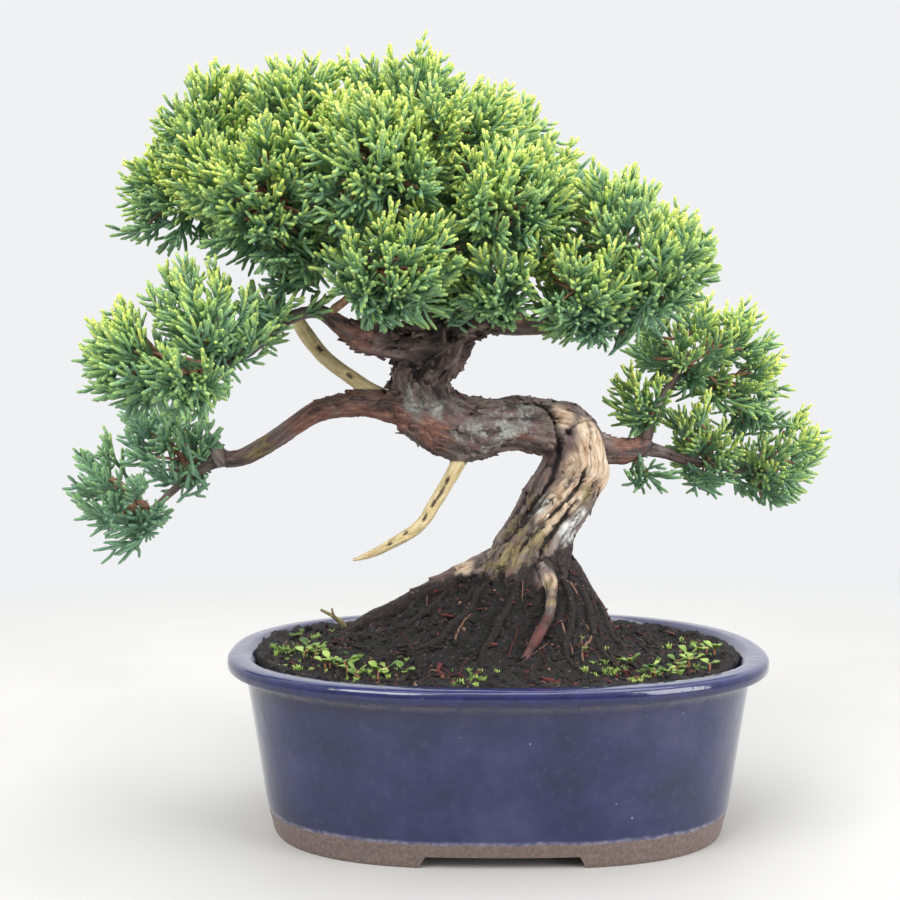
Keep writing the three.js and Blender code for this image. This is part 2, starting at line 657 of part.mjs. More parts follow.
function soil() {
  const rim = potRing(insetAt(INNER_PROFILE, SOIL_LEVEL) + SOIL_GAP, SOIL_LEVEL);
  const rings = [potRing(INNER_PROFILE[0][0] + 2 * SOIL_GAP, FLOOR + SOIL_GAP)];
  for (const [inset, z] of INNER_PROFILE.slice(1, 3)) rings.push(potRing(inset + SOIL_GAP, z));
  rings.push(rim);
  for (let ring = SOIL_RINGS - 1; ring > 0; ring -= 1) {
    rings.push(rim.map((p) => {
      const x = (p.x * ring) / SOIL_RINGS;
      const y = (p.y * ring) / SOIL_RINGS;
      return new THREE.Vector3(x, y, moundHeight(x, y));
    }));
  }
  const holes = [rootwork(SOCKET_GAP), deadTwig(SOCKET_GAP), ...SEEDLINGS.map(stemHole)];
  holes.push(drainMesh(-DRAIN_X, GAP), drainMesh(DRAIN_X, GAP));
  return holes.reduce((body, hole) => body.subtract(hole), loft(rings));
}

// Assembly

function material(colour, roughness, metalness = 0) {
  return new THREE.MeshStandardMaterial({ color: colour, roughness, metalness });
}

const MATERIALS = {
  glaze: material('#3a3f68', 0.25),
  netting: material('#3a3a38', 0.7),
  soil: material('#33271f', 0.95),
  bark: material('#6e5547', 0.85),
  foliage: material('#5f9a3c', 0.6),
  seedling: material('#86b84a', 0.5),
  deadTwig: material('#8f7d52', 0.8),
};

const root = new THREE.Group();

function place(name, solid, look) {
  const mesh = new THREE.Mesh(geometryOf(solid), look);
  mesh.name = name;
  root.add(mesh);
}

place('pot', pot(), MATERIALS.glaze);
place('drain_mesh_left', drainMesh(-DRAIN_X), MATERIALS.netting);
place('drain_mesh_right', drainMesh(DRAIN_X), MATERIALS.netting);
place('soil', soil(), MATERIALS.soil);
place('tree', tree(), MATERIALS.bark);
for (const pad of pads) place(`foliage_${pad.name}`, foliage(pad), MATERIALS.foliage);
SEEDLINGS.forEach((spot, i) => place(`seedling_${i + 1}`, seedling(spot), MATERIALS.seedling));
place('dead_twig', deadTwig(), MATERIALS.deadTwig);

// The origin is under the middle of the whole plant, on the ground
const box = new THREE.Box3().setFromObject(root);
const middle = box.getCenter(new THREE.Vector3());
root.position.set(-middle.x, -middle.y, 0);

export default root;
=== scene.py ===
import math
from collections import namedtuple

import bmesh
import bpy
import numpy as np
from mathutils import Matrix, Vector, kdtree, noise


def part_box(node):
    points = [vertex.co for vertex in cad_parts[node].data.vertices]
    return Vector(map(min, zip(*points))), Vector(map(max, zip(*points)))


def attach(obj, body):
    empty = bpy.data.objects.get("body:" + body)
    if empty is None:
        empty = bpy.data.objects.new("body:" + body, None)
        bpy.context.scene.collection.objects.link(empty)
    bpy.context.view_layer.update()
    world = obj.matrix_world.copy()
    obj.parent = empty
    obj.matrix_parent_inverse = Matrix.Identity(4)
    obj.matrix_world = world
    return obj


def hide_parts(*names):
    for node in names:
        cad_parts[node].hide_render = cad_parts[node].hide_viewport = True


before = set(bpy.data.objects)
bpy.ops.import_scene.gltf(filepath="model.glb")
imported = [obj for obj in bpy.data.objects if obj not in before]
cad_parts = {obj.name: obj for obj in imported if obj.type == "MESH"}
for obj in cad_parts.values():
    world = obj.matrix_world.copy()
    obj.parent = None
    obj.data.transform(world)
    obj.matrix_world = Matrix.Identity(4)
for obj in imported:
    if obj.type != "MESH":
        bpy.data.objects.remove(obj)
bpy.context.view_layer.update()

# Sizes are in millimetres, in the pot's own frame: its middle is at x = y = 0, its feet stand on
# z = 0 and its front is towards -y. to_frame() turns them into the model's metres.

MM = 0.001
SEED = 26
POT_LOW, POT_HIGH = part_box("pot")
POT_MIDDLE = np.array([(POT_LOW.x + POT_HIGH.x) / 2, (POT_LOW.y + POT_HIGH.y) / 2, 0]) / MM
LIP_A = (POT_HIGH.x - POT_LOW.x) / 2 / MM
LIP_B = (POT_HIGH.y - POT_LOW.y) / 2 / MM
LIP_TOP = POT_HIGH.z / MM

# The camera of the photograph
CAMERA_AT = [-15.8, -432, 140.8]
CAMERA_PITCH = math.radians(-2.25)
CAMERA_LENS = 50.9
SENSOR = 36

# Studio: how bright the room is, and the softboxes in metres
FLOOR_REACH = 4000
FLOOR_DROP = 0.05
FLOOR_FADE = [230, 800]  # the floor fades into the bright room between these distances
ROOM_FRONT = 0.38
ROOM_BACK = 1.0
ROOM_ABOVE = 0.62
LIGHT_TARGET = [0, 0, 0.13]
LIGHTS = {  # place, size and power
    "key": ([-0.6, -0.75, 0.95], [0.7, 0.7], 15),
    "fill": ([0.95, -0.6, 0.5], [0.6, 0.9], 13),
    "top": ([0.1, 0.1, 1.2], [1.0, 1.0], 9),
}

# Pot: a superellipse that gets squarer towards the foot
POT_SIDES = 180
PROFILE_STEP = 1.2
LIP_POWER = 2.35
FOOT_POWER = 2.7
FOOT_HEIGHT = 3.8
FOOT_GAP = [26, 23.2]
RECESS_INSET = 29
FLOOR = 10
DRAIN_X = 36
DRAIN_RADIUS = 6
DRAIN_SIDES = 32
GLAZE_EDGE = 8.2
OUTER_PROFILE = [
    [16.1, 0.5], [15.6, 0], [15.3, 0.5], [14.4, 4], [13.3, 8], [9.8, 29], [6.5, 48], [6.1, 49.6],
    [5.5, 50.8], [4.2, 51.9], [2.2, 52.4], [0.7, 52.7], [0.1, 53.5], [0, 54.8], [0.1, 56],
    [0.7, 56.8], [1.8, 57.15], [3.6, LIP_TOP],
]
INNER_PROFILE = [
    [22, FLOOR], [18.6, FLOOR + 1], [17.4, FLOOR + 4], [11.8, 48], [10.4, 53], [9, 55],
    [7.6, 56.3], [6.2, 57], [4.6, LIP_TOP + 0.6],
]

# Soil
SOIL_LEVEL = 54
SOIL_BANK = 2.3  # the soil is heaped a little against the pot's wall
BANK_SPAN = [0.45, 0.75]
MOUND_HEIGHT = 29
MOUND_X = 17
MOUND_LEFT = 55
MOUND_RIGHT = 22
MOUND_DEPTH = 27
SOIL_RINGS = 72
SOIL_SIDES = 230
GRAIN_COUNT = 2700
CHIP_COUNT = 260
FIBRE_COUNT = 340
MOSS_BEDS = [
    [-60, -20, 17], [-44, -40, 15], [60, -24, 17], [44, -40, 11], [-66, 12, 12], [70, 12, 12],
    [34, -34, 9], [-8, -47, 12], [-72, -10, 8],
]
TUFTS_PER_BED = 22
TUFT_BLADES = 9
SOIL_INSET = 11.5  # how far inside the lip's outline the loose bits lie
MOSS_INSET = 13
ROOTLETS = {  # roots that show through the soil: thickest radius, tone and the places of each
    "red": (0.7, 0.84, [
        [[-20, -32], [-18.6, -34.4], [-19.6, -37.6], [-17.8, -40.6], [-17.4, -43]],
        [[-3, -38], [-1.4, -41.6]], [[58, 14], [62, 12], [64, 9]], [[37, -36], [41, -38]],
        [[-62, 14], [-57, 10]], [[12, -42], [15, -45], [19, -45.6]],
    ]),
    "straw": (0.45, 0.95, [
        [[27, -21], [30, -23.6], [26, -32.5], [28, -37]], [[22, -10], [25, -12.4], [27, -15]],
        [[19, -22], [22, -27], [24, -33]], [[-8, -16], [-12, -20], [-15, -26]],
    ]),
    "dark": (1.45, 0.25, [
        [[20, -8], [24, -19], [21, -31], [24, -38]], [[24, -6], [29, -15], [32, -27], [39, -33]],
        [[27, -2], [34, -8], [37, -17], [46, -22]], [[8, -12], [2, -21], [-5, -30], [-6, -39]],
        [[-2, -8], [-12, -18], [-24, -26], [-34, -29]], [[-16, -4], [-28, -11], [-42, -14]],
        [[27, 8], [34, 17], [40, 28]], [[0, 14], [-14, 20], [-30, 26]],
    ]),
}

# Wood: stations of [x, y, z, radius], from the root end to the tip
TRUNK = [
    [11, 0, 56, 15], [11, 0, 73, 14.8], [11.2, 0, 85, 13.2], [13.8, 2, 95, 11.2], [22, 4, 108, 11.4],
    [27, 5, 119, 11], [24, 4, 129, 10.3], [14, 2, 132, 9.3], [1, 0, 132, 9], [-11, -3, 131, 11],
    [-22, -4, 135, 10.4], [-31, -4, 138, 7.5],
]
UPPER_TRUNK = [
    [-21, -4, 133, 9.5], [-25, -4, 142, 9.6], [-26, -4, 148, 9.2], [-22, -5, 155, 9.6],
    [-17, -6, 162, 9.4], [-15, -7, 168, 7.6],
]
LIMBS = {
    "west": [
        [-28, -4, 137, 6], [-41, -3, 139, 4.4], [-51, -2, 139, 3.9], [-61, 0, 137, 3.6],
        [-69, 1, 132, 3.2], [-78, 3, 126, 3.2], [-88, 4, 121, 3.1], [-97, 5, 120, 2.7],
        [-105, 5, 115, 1.9], [-113, 6, 108, 1.4], [-120, 7, 102, 1.1],
    ],
    "shelf": [
        [-19, -7, 162, 7.3], [-28, -9, 160, 6.4], [-36, -12, 160, 5.7], [-44, -15, 162, 5.4],
        [-50, -18, 164, 3.4], [-58, -23, 169, 2.2], [-68, -28, 166, 2], [-74, -32, 160, 1.8],
        [-79, -36, 155, 1.5], [-88, -41, 150, 1.2],
    ],
    "crown": [
        [-17, -6, 166, 7], [-26, -5, 172, 5.6], [-33, -4, 177, 5], [-39, -2, 182, 4.4],
        [-48, 2, 192, 3.4], [-62, 5, 205, 2.4], [-78, 6, 215, 1.8], [-92, 4, 218, 1.3],
    ],
    "leader": [
        [-15, -7, 166, 6.6], [-14, -5, 180, 4.8], [-19, -3, 194, 3.8], [-25, -2, 208, 2.8],
        [-28, -4, 220, 2], [-29, -5, 228, 1.4],
    ],
    "shoulder": [
        [-14, -8, 168, 5.2], [-3, -12, 167, 4], [9, -18, 165, 2.9], [21, -23, 166, 2.3],
        [33, -27, 170, 1.8], [44, -30, 177, 1.3],
    ],
    "back": [
        [-15, -4, 168, 4.6], [-18, 8, 180, 3.4], [-26, 18, 194, 2.6], [-38, 25, 208, 2],
        [-52, 29, 222, 1.4],
    ],
    "east": [[31, 8, 125, 6.2], [41, 14, 123, 4.9], [48, 18, 123, 4.3], [54, 22, 125, 3]],
    "east_rise": [[52, 21, 124, 2.8], [57, 25, 134, 2.2], [62, 28, 143, 2], [69, 31, 154, 1.5]],
    "east_reach": [
        [52, 21, 124, 2.8], [61, 26, 122, 2.3], [70, 30, 119, 2], [81, 34, 117, 1.7],
        [94, 38, 114, 1.2],
    ],
}
ROOTS = [
    [
        [8, -2, 84, 10], [-3, 1, 82, 6.6], [-18, 4, 76, 4.8], [-32, 6, 69, 4],
        [-45, 7, 63, 3.3], [-56, 7, 56, 2],
    ],
    [[19, 3, 88, 7], [26, 5, 80, 4.4], [33, 6, 71, 3.4], [39, 7, 61, 2.8], [44, 8, 53, 1.8]],
    [
        [14, -8, 89, 4.6], [17.2, -16, 80.5, 2.3], [16.2, -23.5, 72, 1.9], [12.2, -29, 65.5, 1.9],
        [9, -32, 61, 1.6], [6, -35, 56, 1.1],
    ],
    [[20, 10, 86, 6.5], [26, 20, 77, 4.2], [30, 30, 66, 3.4], [36, 38, 55, 2.2]],
    [[7, 8, 86, 6.5], [-4, 18, 77, 4.4], [-12, 27, 67, 3.4], [-22, 35, 55, 2.2]],
]
DEADWOOD = [
    [
        [-32, -4, 139, 3.4], [-41, -3, 143, 2.9], [-50, -1, 149, 2.6], [-58, 1, 155, 2.5],
        [-64, 3, 162, 2.7], [-68, 4, 168, 2.2], [-70, 5, 170, 1.2],
    ],
    [
        [-9, -5, 128, 3.2], [-14, -8, 118, 2.4], [-20, -10, 108, 2.2], [-26, -12, 99, 2],
        [-34, -13, 94, 1.8], [-42, -14, 90, 1.4], [-48, -15, 88, 0.7],
    ],
]
KNOB = [[-94, 4, 120, 3], [-97, 4, 125, 2.9], [-100, 4, 129, 2]]
BURL = [-15, -7, 166]
BURL_SIZE = [11, 9.5, 9]
HOLLOWS = [
    [-19, -16, 168, 5.5], [-10, -16, 167, 4.4], [-14, -16, 162, 3.6], [-31, -14, 163, 4],
    [-36, -14, 167, 3], [-27, -13, 150, 5], [-22, -14, 153, 5], [32, -6, 125, 2],
    [24, -6, 130, 2.4], [33, -5, 112, 2.2], [27, 1, 92, 5],
]
GROOVES = [  # as seen from the front: x and z
    [
        [13, 140], [18, 136.4], [19.8, 129.8], [20.6, 124], [19, 117.7], [17, 112.5], [10.5, 104.5],
        [4, 95.2], [-1, 91],
    ],
    [[26.5, 107], [24.2, 103.4], [20, 97.9], [15, 92], [12, 86]],
    [[12.5, 111], [6, 103], [0, 96], [-7, 90]],
    [[30, 118], [27.5, 112], [22, 106], [14, 99], [7, 91]],
]
SLITS = [  # in the deadwood
    [[-16.4, 114.6], [-18.4, 110.8], [-21.8, 105.8]], [[-23.6, 103.2], [-24.8, 101.4]],
    [[-30, 97.4], [-31, 96.6]], [[-35.4, 93.7], [-36.4, 93.3]], [[-60.4, 159.4], [-59, 157.6]],
    [[-50.4, 149.6], [-48.6, 148.2]],
]
SLIT_WIDTH = 0.75
GROOVE_WIDTH = 0.9
GROOVE_DEPTH = 1.9
ROOT_CROWN = [20, 3, 103, 5]  # inside the trunk, where the roots part
JIN_COLLAR = 1.3  # how far the bark reaches up a deadwood stub
BARK_VOXEL = 0.74
ROUGH_SPAN = [140, 156]  # the bark gets rougher between these heights
FLAKE_COUNT = 1700
FLAKE_HALF = 0.14  # half of a flake's thickness

# Strands that run down the trunk into the roots: height, turn in degrees and radius
STRANDS = [
    [[126, 290, 2.6], [118, 280, 3.4], [108, 262, 4.2], [95, 240, 4.6], [85, 218, 4.6], [76, 200, 4]],
    [
        [126, 325, 2.6], [118, 308, 3.4], [108, 290, 4], [97, 268, 4.4], [86, 250, 4.4],
        [74, 238, 3.6], [64, 232, 3],
    ],
    [[125, 352, 2.6], [117, 340, 3.4], [106, 322, 4], [94, 300, 4.2], [84, 285, 3.4], [77, 278, 1.6]],
    [[116, 24, 2.6], [108, 12, 3.6], [98, 350, 4.2], [86, 325, 4], [76, 315, 3.2], [66, 318, 2.8]],
    [[120, 202, 2.6], [112, 200, 4], [102, 195, 4.6], [90, 190, 5], [80, 185, 4.6]],
    [[122, 88, 2.6], [113, 91, 4], [98, 100, 4.8], [82, 110, 4.6], [68, 115, 4]],
    [[112, 52, 2.6], [103, 60, 4], [92, 72, 4.6], [80, 80, 4]],
]
STRAND_RELIEF = 1.8
STRAND_SINK = 2.4  # how deep a strand's upper end lies in the trunk
TRUNK_RISE = 7  # stations of TRUNK up to its bend
# How far earth clings above the soil, at each x
EARTH_LINE = [[-40, 8], [-14, 6.5], [-6, 3], [12, 8.5], [24, 12], [30, 16]]

# Spots of colour on the bark: x, y, z and reach. Earth hardly clings to the bare ones.
ZONES = {
    "pale": [
        [33, -3, 125, 9], [29, -7, 118, 9], [24, -9, 109, 8], [18, -12, 101, 7], [36, 0, 116, 9],
        [22, -6, 136, 6], [31, -4, 131, 6], [17, -17, 81, 4], [17, -21, 76, 3.4], [-11, 0, 84, 5],
    ],
    "white": [[24.5, -7, 96.5, 5.5], [28.5, -6, 101, 4.5], [13, -9, 106, 4]],
    "lichen": [
        [2, -11, 136, 8], [11, -8, 136, 9], [-8, -12, 127, 9], [-17, -13, 139, 7], [3, -9, 128, 6],
        [-27, -12, 141, 6],
    ],
    "algae": [
        [8, -8, 108, 8], [3, -9, 100, 9], [-2, -8, 93, 9], [6, -12, 90, 7], [-1, -9, 86, 7],
        [31, -6, 109, 5], [14, -13, 95, 6], [17, -20, 78, 6], [-82, 0, 126, 8],
    ],
    # Dark bark, partly painted shade in and round the hollows of the upper trunk and under the burl.
    "dark_bark_and_shade": [
        [-24, -6, 149, 15], [-17, -8, 162, 15], [-15, -7, 172, 14], [8, 2, 124, 9], [17, -6, 124, 7],
        [16, -5, 134, 6], [-34, -10, 162, 12], [-2, -12, 168, 10], [12, -6, 114, 6],
        [8.5, -9, 106, 4], [4, -9, 101, 4], [-0.5, -8, 95, 4],
    ],
    "bare": [
        [15.5, -19, 82, 7], [15.5, -25, 74, 6], [12, -31, 67, 6], [7, -35, 61, 5], [35, 3, 70, 5],
        [38, 4, 65, 5], [42, 5, 60, 5],
    ],
    "rust": [[14, -28, 69, 5], [10.5, -31, 64, 7], [36, 4, 68, 7], [41, 5, 61, 6]],
    "red": [
        [-44, -4, 137, 14], [-62, 0, 135, 12], [-21, -13, 129, 9], [-33, -9, 135, 8], [8, -10, 128, 5],
        [-48, -16, 164, 12], [46, 14, 124, 10], [35, -3, 126, 5],
    ],
}

# Foliage: each pad's limb, middle and reach
PADS = {
    "crown_apex": ("leader", [-32, -7, 242], 18),
    "crown_north": ("crown", [-62, -12, 234], 19),
    "crown_north_west": ("crown", [-90, -8, 229], 20),
    "crown_west": ("crown", [-108, -4, 208], 18),
    "crown_north_east": ("leader", [-11, -16, 224], 20),
    "crown_east": ("leader", [5, 13, 231], 17),
    "crown_front": ("leader", [-40, -40, 212], 22),
    "crown_front_left": ("crown", [-72, -34, 203], 23),
    "crown_front_right": ("leader", [2, -36, 203], 20),
    "crown_low_front": ("shelf", [-32, -45, 185], 20),
    "crown_low_right": ("shoulder", [-2, -40, 181], 15),
    "back_north_west": ("back", [-84, 26, 228], 20),
    "back_north": ("back", [-52, 30, 238], 20),
    "back_north_east": ("leader", [-18, 30, 229], 20),
    "back_middle": ("back", [-66, 33, 207], 22),
    "back_east": ("back", [-6, 32, 206], 20),
    "back_low": ("back", [-33, 34, 193], 17),
    "shoulder_tip": ("shoulder", [50, -33, 185], 17),
    "shoulder_top": ("shoulder", [34, -27, 198], 17),
    "shoulder_front": ("shoulder", [22, -38, 178], 17),
    "shoulder_back": ("shoulder", [30, -4, 188], 15),
    "shelf_top": ("shelf", [-91, -41, 167], 17),
    "shelf_tip": ("shelf", [-112, -42, 155], 16),
    "shelf_inner": ("shelf", [-74, -32, 174], 10),
    "shelf_low": ("shelf", [-95, -52, 149], 13),
    "west_top": ("west", [-113, 6, 127], 17),
    "west_low": ("west", [-130, 9, 103], 14),
    "west_tip": ("west", [-130, 4, 114], 16),
    "east_top": ("east_rise", [66, 29, 163], 17),
    "east_crest": ("east_rise", [86, 35, 164], 15),
    "east_side": ("east_rise", [91, 38, 146], 17),
    "east_tip": ("east_reach", [106, 40, 122], 17),
    "east_low": ("east_reach", [80, 33, 127], 15),
    "east_inner": ("east_rise", [51, 20, 142], 12),
    "east_tuft": ("east", [54, 13, 115], 9),
}
TUFTS = {  # smaller balls of shoots that grow from a pad's twig: middle and reach
    "crown_low_right": [([-17, -31, 189], 12), ([-14, -27, 177], 8)],
    "crown_front": [([-52, -30, 226], 12), ([-22, -36, 226], 11)],
    "crown_front_left": [([-58, -34, 190], 10), ([-90, -26, 214], 12), ([-65, -30, 182], 8)],
    "crown_low_front": [([-44, -38, 200], 9), ([-21, -38, 199], 8)],
    "crown_front_right": [([16, -20, 214], 11), ([-18, -34, 208], 9)],
    "shoulder_front": [([12, -32, 190], 10), ([36, -36, 172], 8)],
    "crown_east": [([20, 2, 212], 11)],
    "shelf_inner": [([-62, -28, 178], 7)],
    "east_low": [([72, 27, 140], 10)],
    "east_side": [([97, 37, 133], 9)],
    "east_top": [([89, 33, 174], 7)],
}
# Sparse lower sides: below which share of the pad's reach, and the share of sprays left out
THIN_BELOW = {
    "crown_west": (-0.2, 0.9), "crown_front_left": (-0.6, 0.75), "crown_north_west": (-0.6, 0.75),
    "west_low": (-0.3, 0.75),
}
TIP_AREA = 0.7307  # of the end face of every shoot in the CAD solids, in square millimetres
SPRAY_LENGTH = [13, 19]
SPRAY_ARCH = 2.2
SIDE_SHOOTS = 10
FORKED_SHOOTS = 4
SHOOT_RADIUS = 0.63
SHOOT_SIDES = 5
OLD_GREEN = 0.06  # how young a shoot is at its root, from 0 to 1
WISP_SHARE = 0.3
WISP_LENGTH = 1.5
LEADER_TOP = 257
BALL_ROOM = 0.3  # least room that a spray needs between its pad and the next
TUFT_ROOM = -3.7
WOOD_ROOM = 2.0
SPACING = {
    "crown": 6.4, "shoulder": 6.5, "back": 8, "shelf": 6.8, "west": 8.6, "east": 8.4, "east_tuft": 12,
}
VIGOUR = {
    "crown": 1.0, "shoulder": 1.0, "back": 0.9, "shelf": 0.85, "west": 0.38, "east": 1.08,
    "east_tuft": 0.45,
}

# Seedlings and other small things
LEAF_LENGTH = 3.7
WEED_HEIGHT = 3.4
WEEDS_BESIDE = 4
CLUMP_REACH = 8
DEAD_TWIG = [
    [[-53, 22, 52, 1], [-54, 22, 60, 0.9], [-57, 21, 63, 0.7], [-62, 20, 66, 0.5]],
    [[-56, 21.4, 61.5, 0.6], [-57.5, 20.6, 64, 0.5], [-58, 20, 66.4, 0.35]],
]
NET_BARS = 9
NET_HALF = 0.5  # half of a bar's width

# A box of two on each side
BOX_CORNERS = np.array([[x, y, z] for x in (-1, 1) for y in (-1, 1) for z in (-1, 1)], float)
BOX_FACES = [[0, 1, 3, 2], [4, 6, 7, 5], [0, 4, 5, 1], [2, 3, 7, 6], [0, 2, 6, 4], [1, 5, 7, 3]]


def to_frame(points):
    """Pot-frame millimetres to the model's metres."""
    return (np.asarray(points, float) + POT_MIDDLE) * MM


def to_pot(points):
    """The model's metres to pot-frame millimetres."""
    return np.asarray(points, float) / MM - POT_MIDDLE


def unit(vectors):
    """Vectors of length 1."""
    return vectors / np.maximum(np.linalg.norm(vectors, axis=-1, keepdims=True), 1e-9)


def smoothstep(low, high, value):
    """0 below low, 1 above high, and smooth between them."""
    share = np.clip((value - low) / (high - low), 0, 1)
    return share * share * (3 - 2 * share)


def noise_at(points, scale):
    """Smooth noise, about -1 to 1, at each of the points."""
    return np.array([noise.noise(Vector(point) * scale) for point in points])


def rim_share(x, y, inset=0):
    """1 on the lip's outline drawn in by the inset, and less inside it."""
    return (abs(x) / (LIP_A - inset)) ** LIP_POWER + (abs(y) / (LIP_B - inset)) ** LIP_POWER


# Meshes


def set_values(mesh, values):
    """Gives each point of the mesh its named values: single numbers or vectors."""
    for name, numbers in values.items():
        numbers = np.asarray(numbers, np.float32)
        kind, field = ("FLOAT_VECTOR", "vector") if numbers.ndim == 2 else ("FLOAT", "value")
        mesh.attributes.new(name, kind, "POINT").data.foreach_set(field, numbers.ravel())


def make_object(name, points, faces, materials, values=None, face_materials=None):
    """A smooth-shaded object of pot-frame points."""
    mesh = bpy.data.meshes.new(name)
    mesh.from_pydata(to_frame(points).tolist(), [], faces)
    set_values(mesh, values or {})
    for material in materials:
        mesh.materials.append(material)
    if face_materials is not None:
        mesh.polygons.foreach_set("material_index", np.asarray(face_materials, np.int32))
    mesh.polygons.foreach_set("use_smooth", [True] * len(mesh.polygons))
    mesh.update()
    thing = bpy.data.objects.new(name, mesh)
    bpy.context.scene.collection.objects.link(thing)
    return thing


def finish_piece(thing, slot, *nodes):
    """The piece stands for its CAD nodes and rides on the part's one body."""
    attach(thing, "root")
    if nodes:
        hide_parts(*nodes)


def mark_sharp(thing, degrees):
    """Edges that turn by more than the angle stay sharp."""
    built = bmesh.new()
    built.from_mesh(thing.data)
    for edge in built.edges:
        if len(edge.link_faces) == 2:
            edge.smooth = edge.calc_face_angle(0) < math.radians(degrees)
    built.to_mesh(thing.data)
    built.free()


class Batch:
    """Collects tubes and other parts, and joins them in one mesh."""

    def __init__(self):
        self.points = []
        self.faces = []
        self.face_materials = []
        self.values = {}
        self.count = 0

    def add(self, points, faces, material=0, **values):
        """Adds points, faces as lists of indices, and one value or one per point for each name."""
        self.points.append(points)
        self.faces.extend((np.asarray(group) + self.count).tolist() for group in faces)
        self.face_materials.extend([material] * sum(len(group) for group in faces))
        for name, value in values.items():
            value = np.asarray(value, float)
            shape = (len(points), 3) if value.ndim == 2 or value.shape == (3,) else (len(points),)
            self.values.setdefault(name, []).append(np.broadcast_to(value, shape))
        self.count += len(points)

    def tubes(self, lines, radii, sides, material=0, **values):
        """Adds tubes that begin and end in a point. A value may be one per tube and station."""
        points, faces = tube_mesh(lines, radii, sides)
        spread = {}
        stations = lines.shape[1]
        for name, value in values.items():
            each = np.broadcast_to(value, lines.shape[:2])
            rings = np.repeat(each[:, 1:stations - 1], sides, axis=1)
            spread[name] = np.concatenate([each[:, :1], rings, each[:, -1:]], axis=1).ravel()
        self.add(points, faces, material, **spread)

    def build(self, name, materials):
        """Makes the object."""
        flat_faces = [face for group in self.faces for face in group]
        values = {key: np.concatenate(parts) for key, parts in self.values.items()}
        points = np.concatenate(self.points)
        return make_object(name, points, flat_faces, materials, values, self.face_materials)


def tube_mesh(lines, radii, sides):
    """Points and faces of closed tubes. lines is (tubes, stations, 3) and radii (tubes, stations - 2)."""
    count, stations = lines.shape[:2]
    tangents = unit(np.gradient(lines, axis=1))
    helper = np.where(np.abs(tangents[:, :1, 2:3]) < 0.8, [[[0.0, 0.0, 1.0]]], [[[1.0, 0.0, 0.0]]])
    normals = unit(np.cross(tangents, np.broadcast_to(helper, tangents.shape)))
    binormals = np.cross(tangents, normals)
    angles = 2 * np.pi * np.arange(sides) / sides
    across = normals[:, 1:-1, None] * np.cos(angles)[:, None]
    across = across + binormals[:, 1:-1, None] * np.sin(angles)[:, None]
    rings = lines[:, 1:-1, None] + radii[:, :, None, None] * across
    points = np.concatenate([lines[:, :1], rings.reshape(count, -1, 3), lines[:, -1:]], axis=1)
    each = points.shape[1]
    ring = np.arange(sides)
    following = (ring + 1) % sides
    first = np.stack([np.zeros(sides, int), 1 + following, 1 + ring], axis=1)
    last_ring = 1 + sides * (stations - 3)
    last = np.stack([last_ring + ring, last_ring + following, np.full(sides, each - 1)], axis=1)
    offsets = each * np.arange(count)[:, None, None]
    triangles = (np.concatenate([first, last])[None] + offsets).reshape(-1, 3)
    quads = (1 + ring_quads(stations - 2, sides)[None] + offsets).reshape(-1, 4)
    return points.reshape(-1, 3), [triangles, quads]


def ring_quads(rings, sides):
    """The four corners of each face between neighbouring rings of points."""
    ring = np.arange(sides)
    following = (ring + 1) % sides
    low = sides * np.arange(rings - 1)[:, None]
    corners = [low + ring, low + following, low + sides + following, low + sides + ring]
    return np.stack(corners, axis=2).reshape(-1, 4)


def superellipse(inset, z, sides):
    """A ring of points on the pot's outline, inset from the lip's."""
    power = np.interp(z, [0, LIP_TOP], [FOOT_POWER, LIP_POWER])
    angle = 2 * np.pi * np.arange(sides) / sides
    c, s = np.cos(angle), np.sin(angle)
    x = (LIP_A - inset) * np.sign(c) * np.abs(c) ** (2 / power)
    y = (LIP_B - inset) * np.sign(s) * np.abs(s) ** (2 / power)
    return np.stack([x, y, np.full(sides, float(z))], axis=1)


def loft_faces(rings, sides):
    """Faces through a stack of rings, with one flat face over each end."""
    faces = ring_quads(rings, sides).tolist()
    faces.append(list(reversed(range(sides))))
    faces.append(list(range(sides * (rings - 1), sides * rings)))
    return faces


def ball(subdivisions):
    """Corners on the unit ball and the triangles between them, facing out."""
    built = bmesh.new()
    bmesh.ops.create_icosphere(built, subdivisions=subdivisions, radius=1)
    corners = np.array([vertex.co for vertex in built.verts])
    faces = [[vertex.index for vertex in face.verts] for face in built.faces]
    built.free()
    return corners, faces


def centripetal(stations, step):
    """Places along a centripetal Catmull-Rom curve through the stations, about a step apart."""
    stations = np.array(stations, float)
    before = 2 * stations[0] - stations[1]
    after = 2 * stations[-1] - stations[-2]
    padded = np.vstack([before, stations, after])
    gaps = np.maximum(np.linalg.norm(np.diff(padded[:, :3], axis=0), axis=1), 1e-6) ** 0.5
    places = []
    for i in range(len(stations) - 1):
        p0, p1, p2, p3 = padded[i:i + 4]
        d0, d1, d2 = gaps[i:i + 3]
        start = ((p1 - p0) / d0 - (p2 - p0) / (d0 + d1) + (p2 - p1) / d1) * d1
        end = ((p2 - p1) / d1 - (p3 - p1) / (d1 + d2) + (p3 - p2) / d2) * d1
        for t in np.arange(0, 1, 1 / max(1, round(d1 ** 2 / step))):
            place = p1 + start * t + (3 * (p2 - p1) - 2 * start - end) * t ** 2
            places.append(place + (2 * (p1 - p2) + start + end) * t ** 3)
    places.append(stations[-1])
    return np.array(places)


def steady_normals(tangents):
    """A direction across each tangent of a line, which never twists."""
    normal = unit(np.cross(tangents[0], [0.3, 1, 0.2]))
    normals = []
    for tangent in tangents:
        normal = unit(normal - tangent * (normal @ tangent))
        normals.append(normal)
    return np.array(normals)


# Materials


def srgb(red, green, blue):
    """A colour of the shaders from its values of 0 to 255 on a screen."""
    shares = [value / 255 for value in (red, green, blue)]
    limit = 10 / 255
    return (*(((c + 0.055) / 1.055) ** 2.4 if c > limit else c / 12.92 for c in shares), 1)


